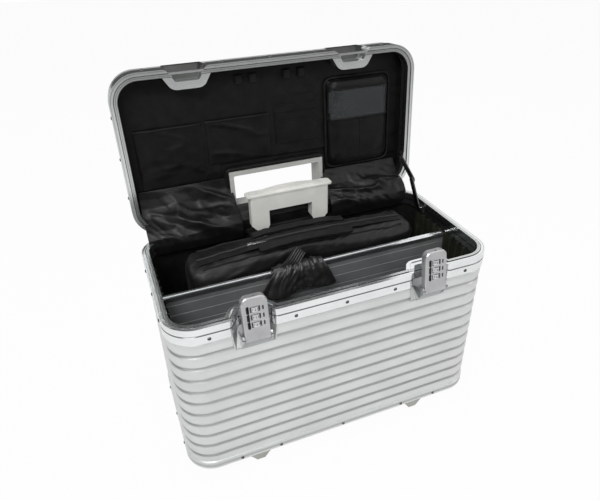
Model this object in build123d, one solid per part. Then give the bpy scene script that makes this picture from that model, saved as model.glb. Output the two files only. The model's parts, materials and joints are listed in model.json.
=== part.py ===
from build123d import *
import os
from math import atan2, cos, degrees, hypot, radians, sin, tan

# A ribbed pilot case on feet and wheels, standing open.
# Millimetres, +X along the case, +Y to the hinge side, +Z up.
# Everything is modelled about the middle of the case with the floor at zero, and moved
# along Y at the end so that the open case's box is centred on the origin.
# "Inset" is a distance inwards from the crest of the ribs.

# Body and lid
case_length = 470.0
case_depth = 236.0
body_height = 263.0
ground_clearance = 22.0
lid_depth = 52.0
corner_radius = 40.0
open_angle = 94.0

# Ribbed sheet
sheet_thickness = 3.4
rib_pitch = 20.9
groove_depth = 2.2
groove_floor = 1.4
groove_mouth = 14.0
lid_edge_radius = 9.0
lid_groove_count = 9

# Riveted pan under the body
pan_wall = 1.2
pan_height = 16.4
pan_edge_radius = 6.0

# Rim frames
frame_wall = 1.4
frame_height = 24.0
frame_web = 3.5
inner_skirt_inset = 8.2
inner_skirt_height = 20.0
rim_gap = 0.3
seal_inset = 5.0
seal_width = 4.0
seal_height = 1.0
seal_clearance = 0.3
face_groove_inset = 3.5
face_groove_depth = 2.5
skirt_groove_drop = 9.5
skirt_groove_width = 2.0
skirt_groove_depth = 0.8

# Notches in the rims where the latches stand
latch_offset = 127.4
notch_mouth = 57.4
notch_floor = 35.0
notch_depth = 18.0
notch_mouth_radius = 8.0
notch_floor_radius = 5.0
well_wall = 1.5
well_foot_mouth = 52.0
well_foot_depth = 1.0
body_well_height = 24.0
lid_well_height = 20.0
well_clearance = 0.3

# Rivets
rivet_radius = 2.6
rivet_height = 1.1
rivet_crown_radius = 1.7
rivet_drop = 18.0
front_rivets = (-185.0, -72.0, 0.0, 72.0, 185.0)
end_rivet_pitch = 60.0
pan_rivet_height = 8.0

# Feet and wheels
foot_offset = 132.0
foot_width = 44.0
foot_tip_width = 12.0
foot_front_setback = 8.0
foot_tip_rise = 13.0
foot_tip_lead = 1.0
wheel_offset = 184.0
wheel_radius = 23.0
wheel_width = 20.0
tyre_thickness = 4.0
tyre_edge = 2.2
wheel_axle_radius = 3.0
wheel_axle_inset = 14.0
wheel_clearance = 3.0
wheel_housing_wall = 2.0
running_fit = 0.05

# Piano hinge
hinge_length = 400.0
hinge_segments = 16
knuckle_radius = 2.6
hinge_pin_radius = 1.25
leaf_thickness = 1.2
leaf_width = 21.0
knuckle_gap = 0.3

# Lining, racks and divider
lining_gap = 0.2
lining_wall = 2.0
lining_drop = 5.0
rack_back = 2.0
rack_rib_reach = 6.0
rack_rib_width = 3.0
rack_pitch = 16.0
rack_drop = 21.0
divider_y = -8.0
divider_drop = 23.0
divider_thickness = 5.0
divider_groove_pitch = 17.0
divider_groove_depth = 0.8
divider_end_gap = 0.6
rail_width = 9.0
rail_height = 6.0

# Latches
latch_pivot_reach = 11.0
latch_pivot_drop = 26.0
latch_lean = 9.0
latch_width = 33.0
latch_thickness = 10.0
latch_height = 58.0
latch_corner_radius = 9.0
latch_pin_radius = 1.5
tongue_height = 33.4
tongue_thickness = 3.0
tongue_reach = 3.1
tongue_width = 28.0
keeper_setback = 3.3
keeper_width = 3.0
keeper_height = 3.0
keeper_leg_height = 16.0
ear_thickness = 2.5
ear_gap = 0.5

# Number dials
dial_radius = 5.3
dial_height = 6.2
dial_pitch = 10.5
dial_first_height = 20.5
dial_forward = 1.7
dial_shaft_radius = 1.5
dial_window_width = 13.0
dial_window_gap = 0.6
dial_notches = 10

# Lid stay, in a plane across the hinge line
stay_lid_back = 54.0
stay_lid_rise = 6.0
stay_body_back = 62.0
stay_body_drop = 12.0
stay_link_length = 49.8
stay_link_width = 10.0
stay_link_thickness = 2.0
stay_gap = 0.4
stay_bracket_thickness = 1.5
stay_pin_radius = 2.0

# Pull-out handle
tube_offset = 50.0
tube_setback = 22.5
outer_tube_radius = 9.0
mid_tube_radius = 7.9
inner_tube_radius = 6.8
tube_wall = 1.0
handle_base_height = 8.6
collar_drop = 18.0
collar_thickness = 6.0
tube_end_step = 2.0
grip_half_length = 65.0
grip_gap_half = 36.0
grip_depth = 17.0
grip_top = 55.0
grip_bar_bottom = 25.0
grip_leg_bottom = -6.0
lip_overhang = 5.5
lip_thickness = 2.5
grip_button_half = 52.0
grip_button_width = 10.0
grip_button_crown = 5.0
grip_button_travel = 2.5
grip_button_gap = 0.3
grip_button_seat = 3.5

# Opening in the lid for the pull-out handle
opening_half = 73.0
opening_front = 62.0
opening_rear = 11.0
opening_wall = 2.0
opening_lip = 7.0
opening_lip_thickness = 2.5
opening_bottom = 21.0
opening_cap_width = 2.0
opening_cap_height = 1.2
surround_border = 13.0

# Organiser in the lid
organiser_level = 31.0
organiser_thickness = 2.0
pocket_thickness = 3.0
pouch_thickness = 12.0
pouch_end_gap = 27.0
pouch_width = 120.0
pouch_near = 45.0
pouch_far = 195.0
pouch_radius = 18.0
window_thickness = 0.8
window_inset = 5.0
window_near = 128.0
window_far = 178.0
left_pocket_end_gap = 23.0
left_pocket_width = 100.0
centre_pocket_left = -106.0
centre_pocket_right = -6.0
card_left = 4.0
card_right = 76.0
card_near = 101.0
card_far = 176.0
loop_height = 6.0
loop_width = 12.0

# Carrying handle on the lid
carry_half_length = 62.0
carry_reach = 40.0
carry_bar = 13.0
carry_thickness = 10.0
carry_lift = 1.5
carry_mount_width = 8.0
carry_pin_radius = 2.0
carry_end_radius = 6.2

# Lift-out bag and its strap
bag_half_length = 188.0
bag_front = 4.0
bag_thickness = 70.0
bag_crown = 12.0
bag_side_rise = 12.0
strap_left = -100.0
strap_right = 35.0
strap_thickness = 5.0
strap_front_drop = 26.0
strap_back_drop = 5.0

# Places that follow from the sizes above
half_length = case_length / 2
half_depth = case_depth / 2
sheet_z = ground_clearance
rim_z = sheet_z + body_height
front_y = -half_depth
lining_inset = sheet_thickness + lining_gap
lining_face = lining_inset + lining_wall
skirt_face = inner_skirt_inset + frame_wall
lining_floor = sheet_z + pan_wall + lining_gap + lining_wall
hinge_y = half_depth + frame_wall + knuckle_radius
hinge_line = Axis((0, hinge_y, rim_z), (1, 0, 0))
tube_y = hinge_y - tube_setback - 4.0
divider_half = half_length - skirt_face - divider_end_gap
pouch_right = half_length - pouch_end_gap
pouch_left = pouch_right - pouch_width
carry_pivot_y = -rib_pitch / 2
shapes = {}


def ring_corners(inset, notched):
    """Corners and radii of the plan outline, moved inwards by inset."""
    corners = [Vector(-half_length, -half_depth)]
    radii = [corner_radius]
    if notched:
        for side in (-1, 1):
            middle = side * latch_offset
            corners.append(Vector(middle - notch_mouth / 2, front_y))
            corners.append(Vector(middle - notch_floor / 2, front_y + notch_depth))
            corners.append(Vector(middle + notch_floor / 2, front_y + notch_depth))
            corners.append(Vector(middle + notch_mouth / 2, front_y))
            radii += [notch_mouth_radius, -notch_floor_radius, -notch_floor_radius, notch_mouth_radius]
    corners.append(Vector(half_length, -half_depth))
    corners.append(Vector(half_length, half_depth))
    corners.append(Vector(-half_length, half_depth))
    radii += [corner_radius] * 3
    moved = []
    for index, here in enumerate(corners):
        way_in = (here - corners[index - 1]).normalized()
        way_out = (corners[(index + 1) % len(corners)] - here).normalized()
        side_in = Vector(-way_in.Y, way_in.X)
        side_out = Vector(-way_out.Y, way_out.X)
        moved.append(here + (side_in + side_out) * (inset / (1 + side_in.dot(side_out))))
    rounded = [max(radius - inset, 0.6) if radius > 0 else max(inset - radius, 0.6) for radius in radii]
    return moved, rounded


def plate(inset, low, high, notched=True):
    """A solid with the plan outline, between two heights."""
    corners, radii = ring_corners(inset, notched)
    outline = FilletPolyline(*corners, radius=radii, close=True)
    face = make_face(outline.edges())
    return extrude(Pos(0, 0, low) * face, high - low, dir=(0, 0, 1))


def band(outer, inner, low, high, notched=True):
    """A closed band between two insets."""
    return plate(outer, low, high, notched) - plate(inner, low - 1, high + 1, notched)


def block(x0, x1, y0, y1, z0, z1):
    """A box between two corners."""
    return Pos((x0 + x1) / 2, (y0 + y1) / 2, (z0 + z1) / 2) * Box(x1 - x0, y1 - y0, z1 - z0)


def rod(start, direction, radius, length):
    """A cylinder from a point along a direction."""
    return Solid.make_cylinder(radius, length, Plane(start, z_dir=direction))


def profile_x(points, x0, x1):
    """A (y, z) outline extruded along X."""
    face = make_face(Polyline(*[(0, y, z) for y, z in points], close=True).edges())
    return extrude(Pos(x0, 0, 0) * face, x1 - x0, dir=(1, 0, 0))


def profile_y(points, y0, y1):
    """An (x, z) outline extruded along Y."""
    face = make_face(Polyline(*[(x, 0, z) for x, z in points], close=True).edges())
    return extrude(Pos(0, y0, 0) * face, y1 - y0, dir=(0, 1, 0))


def lid_place(shape):
    """Turns a piece from the closed lid's place to the open one."""
    return shape.rotate(hinge_line, -open_angle)


def flip(level):
    """Height above the rim plane of the closed lid."""
    return rim_z + level


def well_solid(grow, up, latch_x):
    """The scooped hollow behind a latch, grown outwards by grow; up is 1 in the lid."""
    height = lid_well_height if up > 0 else body_well_height
    rim = rim_z + up * (frame_height + (rim_gap if up > 0 else 0))
    slope = (notch_mouth - notch_floor) / 2 / notch_depth
    side = grow * hypot(1, slope)
    start = front_y - 3.0
    layers = []
    levels = ((rim, notch_mouth, notch_depth),
              (rim + up * (height + grow), well_foot_mouth, well_foot_depth))
    for z, mouth, depth in levels:
        wide = mouth / 2 + side - (start - front_y) * slope
        narrow = mouth / 2 + side - (depth + grow) * slope
        corners = [(latch_x - wide, start), (latch_x - narrow, front_y + depth + grow)]
        corners += [(latch_x + narrow, front_y + depth + grow), (latch_x + wide, start)]
        layers.append(Wire.make_polygon([(x, y, z) for x, y in corners], close=True))
    scoop = Solid.make_loft(layers, ruled=True)
    neck = extrude(make_face(layers[0].edges()), 6.0, dir=(0, 0, -up))
    return scoop + neck


def both_wells(grow, up):
    return well_solid(grow, up, -latch_offset) + well_solid(grow, up, latch_offset)


def rib_profile():
    """Half-section of the ribbed wall, as (inset, height) points down the outside."""
    points = []
    top = rim_z - frame_web
    bottom = sheet_z + pan_edge_radius
    points.append((0.0, top))
    level = rim_z - frame_height
    while level > sheet_z + pan_height + groove_mouth / 2:
        points.append((0.0, level + groove_mouth / 2))
        points.append((0.3 * groove_depth, level + 0.22 * groove_mouth))
        points.append((groove_depth, level + groove_floor / 2))
        points.append((groove_depth, level - groove_floor / 2))
        points.append((0.3 * groove_depth, level - 0.22 * groove_mouth))
        points.append((0.0, level - groove_mouth / 2))
        level -= rib_pitch
    points.append((0.0, bottom))
    points.append((sheet_thickness, bottom))
    points.append((sheet_thickness, top))
    return points


def body_shell():
    """The ribbed wall, swept round the plan outline and cut for the latch wells."""
    corners, radii = ring_corners(0.0, False)
    path = FilletPolyline(*corners, radius=radii, close=True).wire()
    start = path @ 0
    along = path % 0
    inward = Vector(0, 0, 1).cross(along)
    section = Polyline(*[start + inward * u + Vector(0, 0, z) for u, z in rib_profile()], close=True)
    wall = sweep(make_face(section.edges()), path=path)
    lower = wall & block(-half_length - 5, half_length + 5, -half_depth - 5, half_depth + 5,
                         sheet_z, rim_z - frame_height)
    upper = wall & plate(0.0, rim_z - frame_height, rim_z)
    shell = (lower + upper) - both_wells(well_wall + well_clearance, -1)
    return shell - wheel_pockets(wheel_housing_wall)


def pan():
    """The riveted tray under the body."""
    outer = plate(-pan_wall, sheet_z, sheet_z + pan_height, False)
    outer = fillet(outer.faces().sort_by(Axis.Z)[0].edges(), pan_edge_radius)
    inner = plate(0.0, sheet_z + pan_wall, sheet_z + pan_height + 1, False)
    inner = fillet(inner.faces().sort_by(Axis.Z)[0].edges(), pan_edge_radius - pan_wall)
    return outer - inner - wheel_pockets(wheel_housing_wall)


def frame(up):
    """Rim frame of the body (up = -1) or of the lid (up = 1), with its notches."""
    gap = rim_gap if up > 0 else 0.0

    def span(outer, inner, near, far):
        low, high = sorted((rim_z + up * (near + gap), rim_z + up * (far + gap)))
        return band(outer, inner, low, high)

    groove_end = skirt_groove_drop + skirt_groove_width
    parts = span(-frame_wall, 0.0, groove_end, frame_height)
    parts += span(-frame_wall + skirt_groove_depth, 0.0, skirt_groove_drop, groove_end)
    parts += span(-frame_wall, 0.0, frame_web, skirt_groove_drop)
    parts += span(inner_skirt_inset, skirt_face, frame_web, inner_skirt_height)
    parts += span(-frame_wall, skirt_face, face_groove_depth, frame_web)
    if up < 0:
        parts += span(-frame_wall, face_groove_inset, 0.0, face_groove_depth)
        parts += span(seal_inset, skirt_face, 0.0, face_groove_depth)
        parts += band(seal_inset, seal_inset + seal_width, rim_z, rim_z + seal_height)
    else:
        recess = seal_height + seal_clearance
        parts += span(-frame_wall, seal_inset - seal_clearance, 0.0, recess)
        parts += span(-frame_wall, skirt_face, recess, face_groove_depth)
    return parts


def rivet(point, outward):
    """A coned rivet head standing on a face."""
    return Solid.make_cone(rivet_radius, rivet_crown_radius, rivet_height, Plane(point, z_dir=outward))


def rivet_row(level, outset, with_pan):
    heads = []
    end_places = [end_rivet_pitch * k for k in (-1, 0, 1)]
    for side in (-1, 1):
        for x in front_rivets:
            if side > 0 and abs(x) < hinge_length / 2:
                continue
            heads.append(rivet((x, side * (half_depth + outset), level), (0, side, 0)))
        for y in end_places:
            heads.append(rivet((side * (half_length + outset), y, level), (side, 0, 0)))
    if with_pan:
        low = sheet_z + pan_rivet_height
        for side in (-1, 1):
            for x in (-foot_offset - 30, -foot_offset + 30, 0, foot_offset - 30, foot_offset + 30):
                heads.append(rivet((x, side * (half_depth + pan_wall), low), (0, side, 0)))
            for y in end_places:
                heads.append(rivet((side * (half_length + pan_wall), y, low), (side, 0, 0)))
    return Compound(children=heads)


def front_feet():
    """Two tapered feet under the front edge."""
    feet = []
    back = front_y + foot_front_setback
    for side in (-1, 1):
        x = side * foot_offset
        top = Wire.make_polygon([(x - foot_width / 2, back, sheet_z), (x + foot_width / 2, back, sheet_z),
                                 (x + foot_width / 2, back + foot_width, sheet_z),
                                 (x - foot_width / 2, back + foot_width, sheet_z)])
        near = back + foot_tip_lead
        far = back + foot_width - foot_tip_rise
        tip = Wire.make_polygon([(x - foot_tip_width / 2, near, 0), (x + foot_tip_width / 2, near, 0),
                                 (x + foot_tip_width / 2, far, 0), (x - foot_tip_width / 2, far, 0)])
        feet.append(Solid.make_loft([tip, top], ruled=True))
    return Compound(children=feet)


def wheel_place(side):
    return Vector(side * wheel_offset, half_depth - wheel_axle_inset, wheel_radius)


def wheel_pocket(side, wall):
    """The space that a wheel needs, with the housing's wall added where wall is not zero."""
    centre = wheel_place(side)
    half = wheel_width / 2 + wheel_clearance + wall
    reach = wheel_radius + wheel_clearance + wall
    return block(centre.X - half, centre.X + half, centre.Y - reach, half_depth + 8,
                 sheet_z - 1, centre.Z + reach)


def wheel_pockets(wall):
    return wheel_pocket(-1, wall) + wheel_pocket(1, wall)


def wheel_housings():
    """Moulded boxes let into the rear bottom corners."""
    housings = []
    for side in (-1, 1):
        centre = wheel_place(side)
        half = wheel_width / 2 + wheel_clearance
        reach = wheel_radius + wheel_clearance
        wall = wheel_housing_wall
        outer = block(centre.X - half - wall, centre.X + half + wall, centre.Y - reach - wall,
                      half_depth + pan_wall, sheet_z, centre.Z + reach + wall)
        for cheek in (-1, 1):
            outer += block(centre.X + cheek * (half + wall / 2) - wall / 2,
                           centre.X + cheek * (half + wall / 2) + wall / 2,
                           centre.Y - 9, centre.Y + 9, centre.Z - 8, sheet_z)
        inner = block(centre.X - half, centre.X + half, centre.Y - reach, half_depth + 9,
                      sheet_z - 20, centre.Z + reach)
        bore = rod((centre.X - half - wall - 1, centre.Y, centre.Z), (1, 0, 0), wheel_axle_radius,
                   2 * (half + wall) + 2)
        housings.append(outer - inner - bore)
    return Compound(children=housings)


def wheel_axles():
    length = wheel_width + 2 * (wheel_clearance + wheel_housing_wall)
    return Compound(children=[rod(wheel_place(side) - Vector(length / 2, 0, 0), (1, 0, 0),
                                  wheel_axle_radius, length) for side in (-1, 1)])


def wheel_hub(side):
    """Hub with five spokes and a boss."""
    centre = wheel_place(side)
    rim_radius = wheel_radius - tyre_thickness
    start = centre - Vector(wheel_width / 2 - 1, 0, 0)
    length = wheel_width - 2
    rim = rod(start, (1, 0, 0), rim_radius, length) - rod(start, (1, 0, 0), rim_radius - 2.5, length)
    boss = rod(start - Vector(2, 0, 0), (1, 0, 0), wheel_axle_radius + 3, length + 4)
    arms = Part()
    for step in range(5):
        arm = Pos(0, 0, (rim_radius - 1) / 2) * Box(wheel_width - 6, 4, rim_radius - 1)
        arms += Pos(*centre) * Rot(72 * step, 0, 0) * arm
    bore = rod(start - Vector(3, 0, 0), (1, 0, 0), wheel_axle_radius + running_fit, length + 6)
    return rim + boss + arms - bore


def wheel_tyre(side):
    centre = wheel_place(side)
    start = centre - Vector(wheel_width / 2, 0, 0)
    tyre = rod(start, (1, 0, 0), wheel_radius, wheel_width)
    tyre = chamfer(tyre.edges().filter_by(GeomType.CIRCLE), tyre_edge)
    return tyre - rod(start, (1, 0, 0), wheel_radius - tyre_thickness, wheel_width)


def body_lining():
    """The black inner tub."""
    top = rim_z - lining_drop
    low = sheet_z + pan_wall + lining_gap
    tub = plate(lining_inset, low, top, False) - plate(lining_face, lining_floor, top + 1, False)
    front_zone = block(-half_length, half_length, front_y, front_y + 40, rim_z - frame_height, rim_z)
    tub = tub - front_zone
    front = plate(lining_inset, rim_z - frame_height, top)
    front -= plate(lining_face, rim_z - frame_height, top, False)
    tub += front & front_zone
    tub = tub - both_wells(well_wall + well_clearance, -1)
    return tub - wheel_pockets(wheel_housing_wall)


def end_racks():
    """Ribbed plates on both end walls; the divider stands between two ribs."""
    racks = []
    top = rim_z - rack_drop
    face = half_length - lining_face
    straight = half_depth - corner_radius
    places = [divider_y + (step + 0.5) * rack_pitch for step in range(-6, 6)]
    for side in (-1, 1):
        rack = block(face - rack_back, face, -straight, straight, lining_floor, top)
        for y in places:
            if abs(y) + rack_rib_width / 2 > straight:
                continue
            rack += block(face - rack_back - rack_rib_reach, face - rack_back + 0.5,
                          y - rack_rib_width / 2, y + rack_rib_width / 2, lining_floor, top)
        racks.append(rack if side > 0 else rack.mirror(Plane.YZ))
    return Compound(children=[solid for rack in racks for solid in rack.solids()])


def divider_panel():
    """Loose partition with lengthwise flutes."""
    top = rim_z - divider_drop - rail_height
    panel = block(-divider_half, divider_half, divider_y - divider_thickness / 2,
                  divider_y + divider_thickness / 2, lining_floor, top)
    level = top - divider_groove_pitch / 2
    while level > lining_floor + divider_groove_pitch / 2:
        for side in (-1, 1):
            face = divider_y + side * divider_thickness / 2
            panel -= block(-divider_half - 1, divider_half + 1, face - divider_groove_depth,
                           face + divider_groove_depth, level - 1, level + 1)
        level -= divider_groove_pitch
    return panel


def divider_rail():
    """Edge rail on top of the divider."""
    base = rim_z - divider_drop - rail_height
    rail = block(-divider_half, divider_half, divider_y - rail_width / 2, divider_y + rail_width / 2,
                 base, base + rail_height)
    rail -= block(-divider_half - 1, divider_half + 1, divider_y - 1.5, divider_y + 1.5,
                  base + rail_height - 1.2, base + rail_height + 1)
    return rail


def hinge_leaf(up):
    """Leaf with every second knuckle; built closed."""
    face = half_depth + frame_wall
    step = hinge_length / hinge_segments
    near = rim_z + up * (knuckle_radius + 0.5)
    far = rim_z + up * (leaf_width + knuckle_radius)
    leaf = block(-hinge_length / 2, hinge_length / 2, face, face + leaf_thickness,
                 min(near, far), max(near, far))
    for index in range(hinge_segments):
        if (index % 2 == 0) == (up < 0):
            left = -hinge_length / 2 + index * step + knuckle_gap / 2
            knuckle = rod((left, hinge_y, rim_z), (1, 0, 0), knuckle_radius, step - knuckle_gap)
            root = block(left, left + step - knuckle_gap, face, face + leaf_thickness,
                         min(rim_z, near), max(rim_z, near))
            leaf += knuckle + root
    bore = rod((-hinge_length, hinge_y, rim_z), (1, 0, 0), hinge_pin_radius + running_fit, 2 * hinge_length)
    return leaf - bore


def hinge_pin():
    return rod((-hinge_length / 2 - 0.5, hinge_y, rim_z), (1, 0, 0), hinge_pin_radius, hinge_length + 1)


def latch_spot(side):
    return Vector(side * latch_offset, front_y - latch_pivot_reach, rim_z - latch_pivot_drop)


def well_floor_depth(drop):
    """Depth of the body well's floor at a drop below the rim."""
    share = (drop - frame_height) / body_well_height
    return notch_depth + (well_foot_depth - notch_depth) * share


def latch_brackets():
    """Cast brackets with ears and hinge pins, seated on the sloping well floors."""
    brackets = []
    foot = frame_height + body_well_height - 0.5
    radius = latch_thickness / 2
    inner = latch_width / 2 + ear_gap
    for side in (-1, 1):
        spot = latch_spot(side)
        web_drop = latch_pivot_drop + radius + 2
        web = profile_x([(front_y + well_floor_depth(foot), rim_z - foot), (front_y - 2, rim_z - foot),
                         (spot.Y, rim_z - web_drop),
                         (front_y + well_floor_depth(web_drop), rim_z - web_drop)],
                        spot.X - inner, spot.X + inner)
        bracket = web
        for ear in (-1, 1):
            ear_x = spot.X + ear * (inner + ear_thickness / 2) - ear_thickness / 2
            high = latch_pivot_drop + radius
            arm = profile_x([(front_y + well_floor_depth(foot), rim_z - foot), (front_y - 2, rim_z - foot),
                             (spot.Y - 0.8 * radius, spot.Z - 0.6 * radius),
                             (spot.Y + 0.6 * radius, spot.Z + 0.8 * radius),
                             (front_y + well_floor_depth(high), rim_z - high)], ear_x, ear_x + ear_thickness)
            bracket += arm + rod((ear_x, spot.Y, spot.Z), (1, 0, 0), radius, ear_thickness)
        pin_half = inner + ear_thickness
        bracket += rod((spot.X - pin_half, spot.Y, spot.Z), (1, 0, 0), latch_pin_radius, 2 * pin_half)
        brackets.append(bracket)
    return Compound(children=[solid for bracket in brackets for solid in bracket.solids()])


def latch_place(shape, side):
    """Leans a latch piece, built upright about its pivot, and sets it on the pivot."""
    spot = latch_spot(side)
    return Pos(*spot) * Rot(-latch_lean, 0, 0) * shape


def dial_heights():
    return [dial_first_height + dial_pitch * k for k in range(3)]


def latch_plate(side):
    """Latch lever with three dial windows and a tongue for the keeper."""
    radius = latch_thickness / 2
    outline = Rectangle(latch_width, latch_height, align=(Align.CENTER, Align.MIN))
    plate_face = Plane.XZ.offset(-radius) * outline
    body = extrude(plate_face, latch_thickness, dir=(0, -1, 0))
    top_edges = body.edges().filter_by(Axis.Y).sort_by(Axis.Z)[-2:]
    body = fillet(top_edges, latch_corner_radius)
    front_edges = body.faces().sort_by(Axis.Y)[0].edges()
    body = chamfer([edge for edge in front_edges if edge.center().Z > 1], 1.2)
    body += rod((-latch_width / 2, 0, 0), (1, 0, 0), radius, latch_width)
    body -= rod((-latch_width, 0, 0), (1, 0, 0), latch_pin_radius + running_fit, 2 * latch_width)
    window = dial_height + 2 * dial_window_gap
    pocket_back = dial_radius - dial_forward + 0.2
    for height in dial_heights():
        body -= block(-dial_window_width / 2, dial_window_width / 2, -radius - 3, pocket_back,
                      height - window / 2, height + window / 2)
    shaft_bottom = dial_heights()[0] - window / 2 - 3
    body -= rod((0, -dial_forward, shaft_bottom), (0, 0, 1), dial_shaft_radius, latch_height)
    body += block(-tongue_width / 2, tongue_width / 2, radius, radius + tongue_reach,
                  tongue_height, tongue_height + tongue_thickness)
    return latch_place(body, side)


def dial_shaft(side):
    window = dial_height + 2 * dial_window_gap
    bottom = dial_heights()[0] - window / 2 - 3
    top = dial_heights()[-1] + window / 2 + 3
    return latch_place(rod((0, -dial_forward, bottom), (0, 0, 1), dial_shaft_radius, top - bottom), side)


def dial(side, height):
    """Number wheel with finger notches."""
    wheel = rod((0, -dial_forward, height - dial_height / 2), (0, 0, 1), dial_radius, dial_height)
    for step in range(dial_notches):
        angle = radians((step + 0.5) * 360 / dial_notches)
        notch_x = (dial_radius + 0.3) * sin(angle)
        notch_y = -dial_forward + (dial_radius + 0.3) * cos(angle)
        wheel -= Pos(notch_x, notch_y, height) * Rot(0, 0, -degrees(angle)) * Box(1.0, 1.2, dial_height + 1)
    wheel -= rod((0, -dial_forward, height - dial_height), (0, 0, 1), dial_shaft_radius + running_fit,
                 2 * dial_height)
    return latch_place(wheel, side)


def lid_keepers():
    """Bars across the lid's notches, each on two legs against the notch's sides."""
    keepers = []
    slope = (notch_mouth - notch_floor) / 2 / notch_depth
    skin = frame_wall * hypot(1, slope)
    low = rim_z + rim_gap

    def half_at(depth):
        return notch_mouth / 2 - slope * depth - skin

    near = keeper_setback
    far = keeper_setback + keeper_width
    deep = far + 3.0
    leg = 1.6
    for side in (-1, 1):
        x = side * latch_offset
        corners = [(x - half_at(near), front_y + near, low), (x - half_at(far), front_y + far, low),
                   (x + half_at(far), front_y + far, low), (x + half_at(near), front_y + near, low)]
        bar = make_face(Polyline(*corners, close=True).edges())
        keeper = extrude(bar, keeper_height, dir=(0, 0, 1))
        for hand in (-1, 1):
            points = [(x + hand * half_at(near), front_y + near, low),
                      (x + hand * half_at(deep), front_y + deep, low),
                      (x + hand * (half_at(deep) - leg), front_y + deep, low),
                      (x + hand * (half_at(near) - leg), front_y + near, low)]
            foot = make_face(Polyline(*points, close=True).edges())
            keeper += extrude(foot, keeper_leg_height, dir=(0, 0, 1))
        keepers.append(keeper)
    return Compound(children=[solid for keeper in keepers for solid in keeper.solids()])


def opening_cutter(grow, low, high):
    return block(-opening_half - grow, opening_half + grow, hinge_y - opening_front - 4 - grow,
                 hinge_y - opening_rear - 4 + grow, flip(low), flip(high))


def lid_shell():
    """Ribbed lid with a rounded top edge, cut for the pull-out handle's opening."""
    outer = plate(0.0, rim_z + rim_gap + frame_web, flip(lid_depth), False)
    outer = fillet(outer.faces().sort_by(Axis.Z)[-1].edges(), lid_edge_radius)
    inner = plate(sheet_thickness, rim_z, flip(lid_depth - sheet_thickness), False)
    inner = fillet(inner.faces().sort_by(Axis.Z)[-1].edges(), lid_edge_radius - sheet_thickness)
    shell = outer - inner
    level = flip(frame_height + rim_gap + 6)
    shell -= band(-3, 0.7 * groove_depth, level - groove_floor / 2, level + groove_floor / 2, False)
    top = flip(lid_depth)
    for step in range(lid_groove_count):
        y = (step - (lid_groove_count - 1) / 2) * rib_pitch
        half = groove_mouth / 2
        floor = top - groove_depth
        shell -= profile_x([(y - 0.22 * 2 * half, top - 0.3 * groove_depth), (y - half, top + 0.001),
                            (y - half, top + 1), (y + half, top + 1), (y + half, top + 0.001),
                            (y + 0.22 * 2 * half, top - 0.3 * groove_depth), (y + groove_floor / 2, floor),
                            (y - groove_floor / 2, floor)], -half_length - 1, half_length + 1)
    rim_part = shell & plate(0.0, rim_z, flip(frame_height + rim_gap))
    rest = shell & block(-half_length - 1, half_length + 1, -half_depth - 1, half_depth + 1,
                         flip(frame_height + rim_gap), flip(lid_depth + 1))
    shell = rim_part + rest
    shell -= both_wells(well_wall + well_clearance, 1)
    return shell - opening_cutter(opening_wall, 0, lid_depth + 1)


def wells(up):
    """Scoop castings behind the latches."""
    castings = []
    for side in (-1, 1):
        x = side * latch_offset
        casting = well_solid(well_wall, up, x) - well_solid(0.0, up, x)
        skirt_end = rim_z + up * (frame_height + (rim_gap if up > 0 else 0))
        neck_end = skirt_end - up * 5
        far = rim_z + up * 60
        scoop = casting & block(x - 60, x + 60, front_y - 0.3, front_y + 40,
                                min(skirt_end, far), max(skirt_end, far))
        neck = casting & plate(0.0, min(skirt_end, neck_end), max(skirt_end, neck_end))
        castings += (scoop + neck).solids()
    return Compound(children=castings)


def lid_lining():
    """Black cloth-covered shell inside the lid."""
    top = lid_depth - sheet_thickness - lining_gap
    start = frame_web + rim_gap + lining_gap
    outer = plate(lining_inset, flip(start), flip(top), False)
    outer = fillet(outer.faces().sort_by(Axis.Z)[-1].edges(), lid_edge_radius - sheet_thickness)
    tub = outer - plate(lining_face, flip(start - 1), flip(top - lining_wall), False)
    fence = flip(frame_height + rim_gap)
    rim_part = tub & plate(lining_inset, flip(0), fence)
    rest = tub & block(-half_length, half_length, -half_depth, half_depth, fence, flip(lid_depth))
    tub = rim_part + rest - both_wells(well_wall + well_clearance, 1)
    return tub - opening_cutter(opening_wall + lining_gap, 0, lid_depth)


def lid_slab(x0, x1, near, far, low, high, radius=0.0):
    """A slab in the lid between two distances from the hinge side, with rounded far corners."""
    slab = block(x0, x1, half_depth - far, half_depth - near, flip(low), flip(high))
    if radius:
        slab = fillet(slab.edges().filter_by(Axis.Z).sort_by(Axis.Y)[:2], radius)
    return slab


def organiser_panel():
    """Stiff panel that carries the lid's pockets."""
    low = flip(organiser_level)
    panel = plate(lining_face, low, low + organiser_thickness, False)
    panel -= both_wells(well_wall + well_clearance, 1)
    return panel - opening_cutter(opening_wall + lining_gap, 0, lid_depth)


def lid_pockets():
    """Two flat pockets on the left of the organiser."""
    high = organiser_level
    low = high - pocket_thickness
    start = left_pocket_end_gap - half_length
    left = lid_slab(start, start + left_pocket_width, 60, 150, low, high, 6)
    centre = lid_slab(centre_pocket_left, centre_pocket_right, 84, 151, low, high, 6)
    return Compound(children=[left, centre])


def card_pocket():
    high = organiser_level
    slab = lid_slab(card_left, card_right, card_near, card_far, high - pocket_thickness, high, 3)
    for step in range(3):
        y = half_depth - card_far + 12 + 14 * step
        slab -= block(card_left + 6, card_right - 6, y, y + 1.2, flip(high - pocket_thickness - 1),
                      flip(high - pocket_thickness + 1))
    return slab


def padded_pouch():
    high = organiser_level
    slab = lid_slab(pouch_left, pouch_right, pouch_near, pouch_far, high - pouch_thickness, high,
                    pouch_radius)
    return fillet(slab.faces().sort_by(Axis.Z)[0].edges(), 4.0)


def pouch_window():
    high = organiser_level - pouch_thickness
    return lid_slab(pouch_left + window_inset, pouch_right - window_inset, window_near, window_far,
                    high - window_thickness, high, 4)


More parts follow.
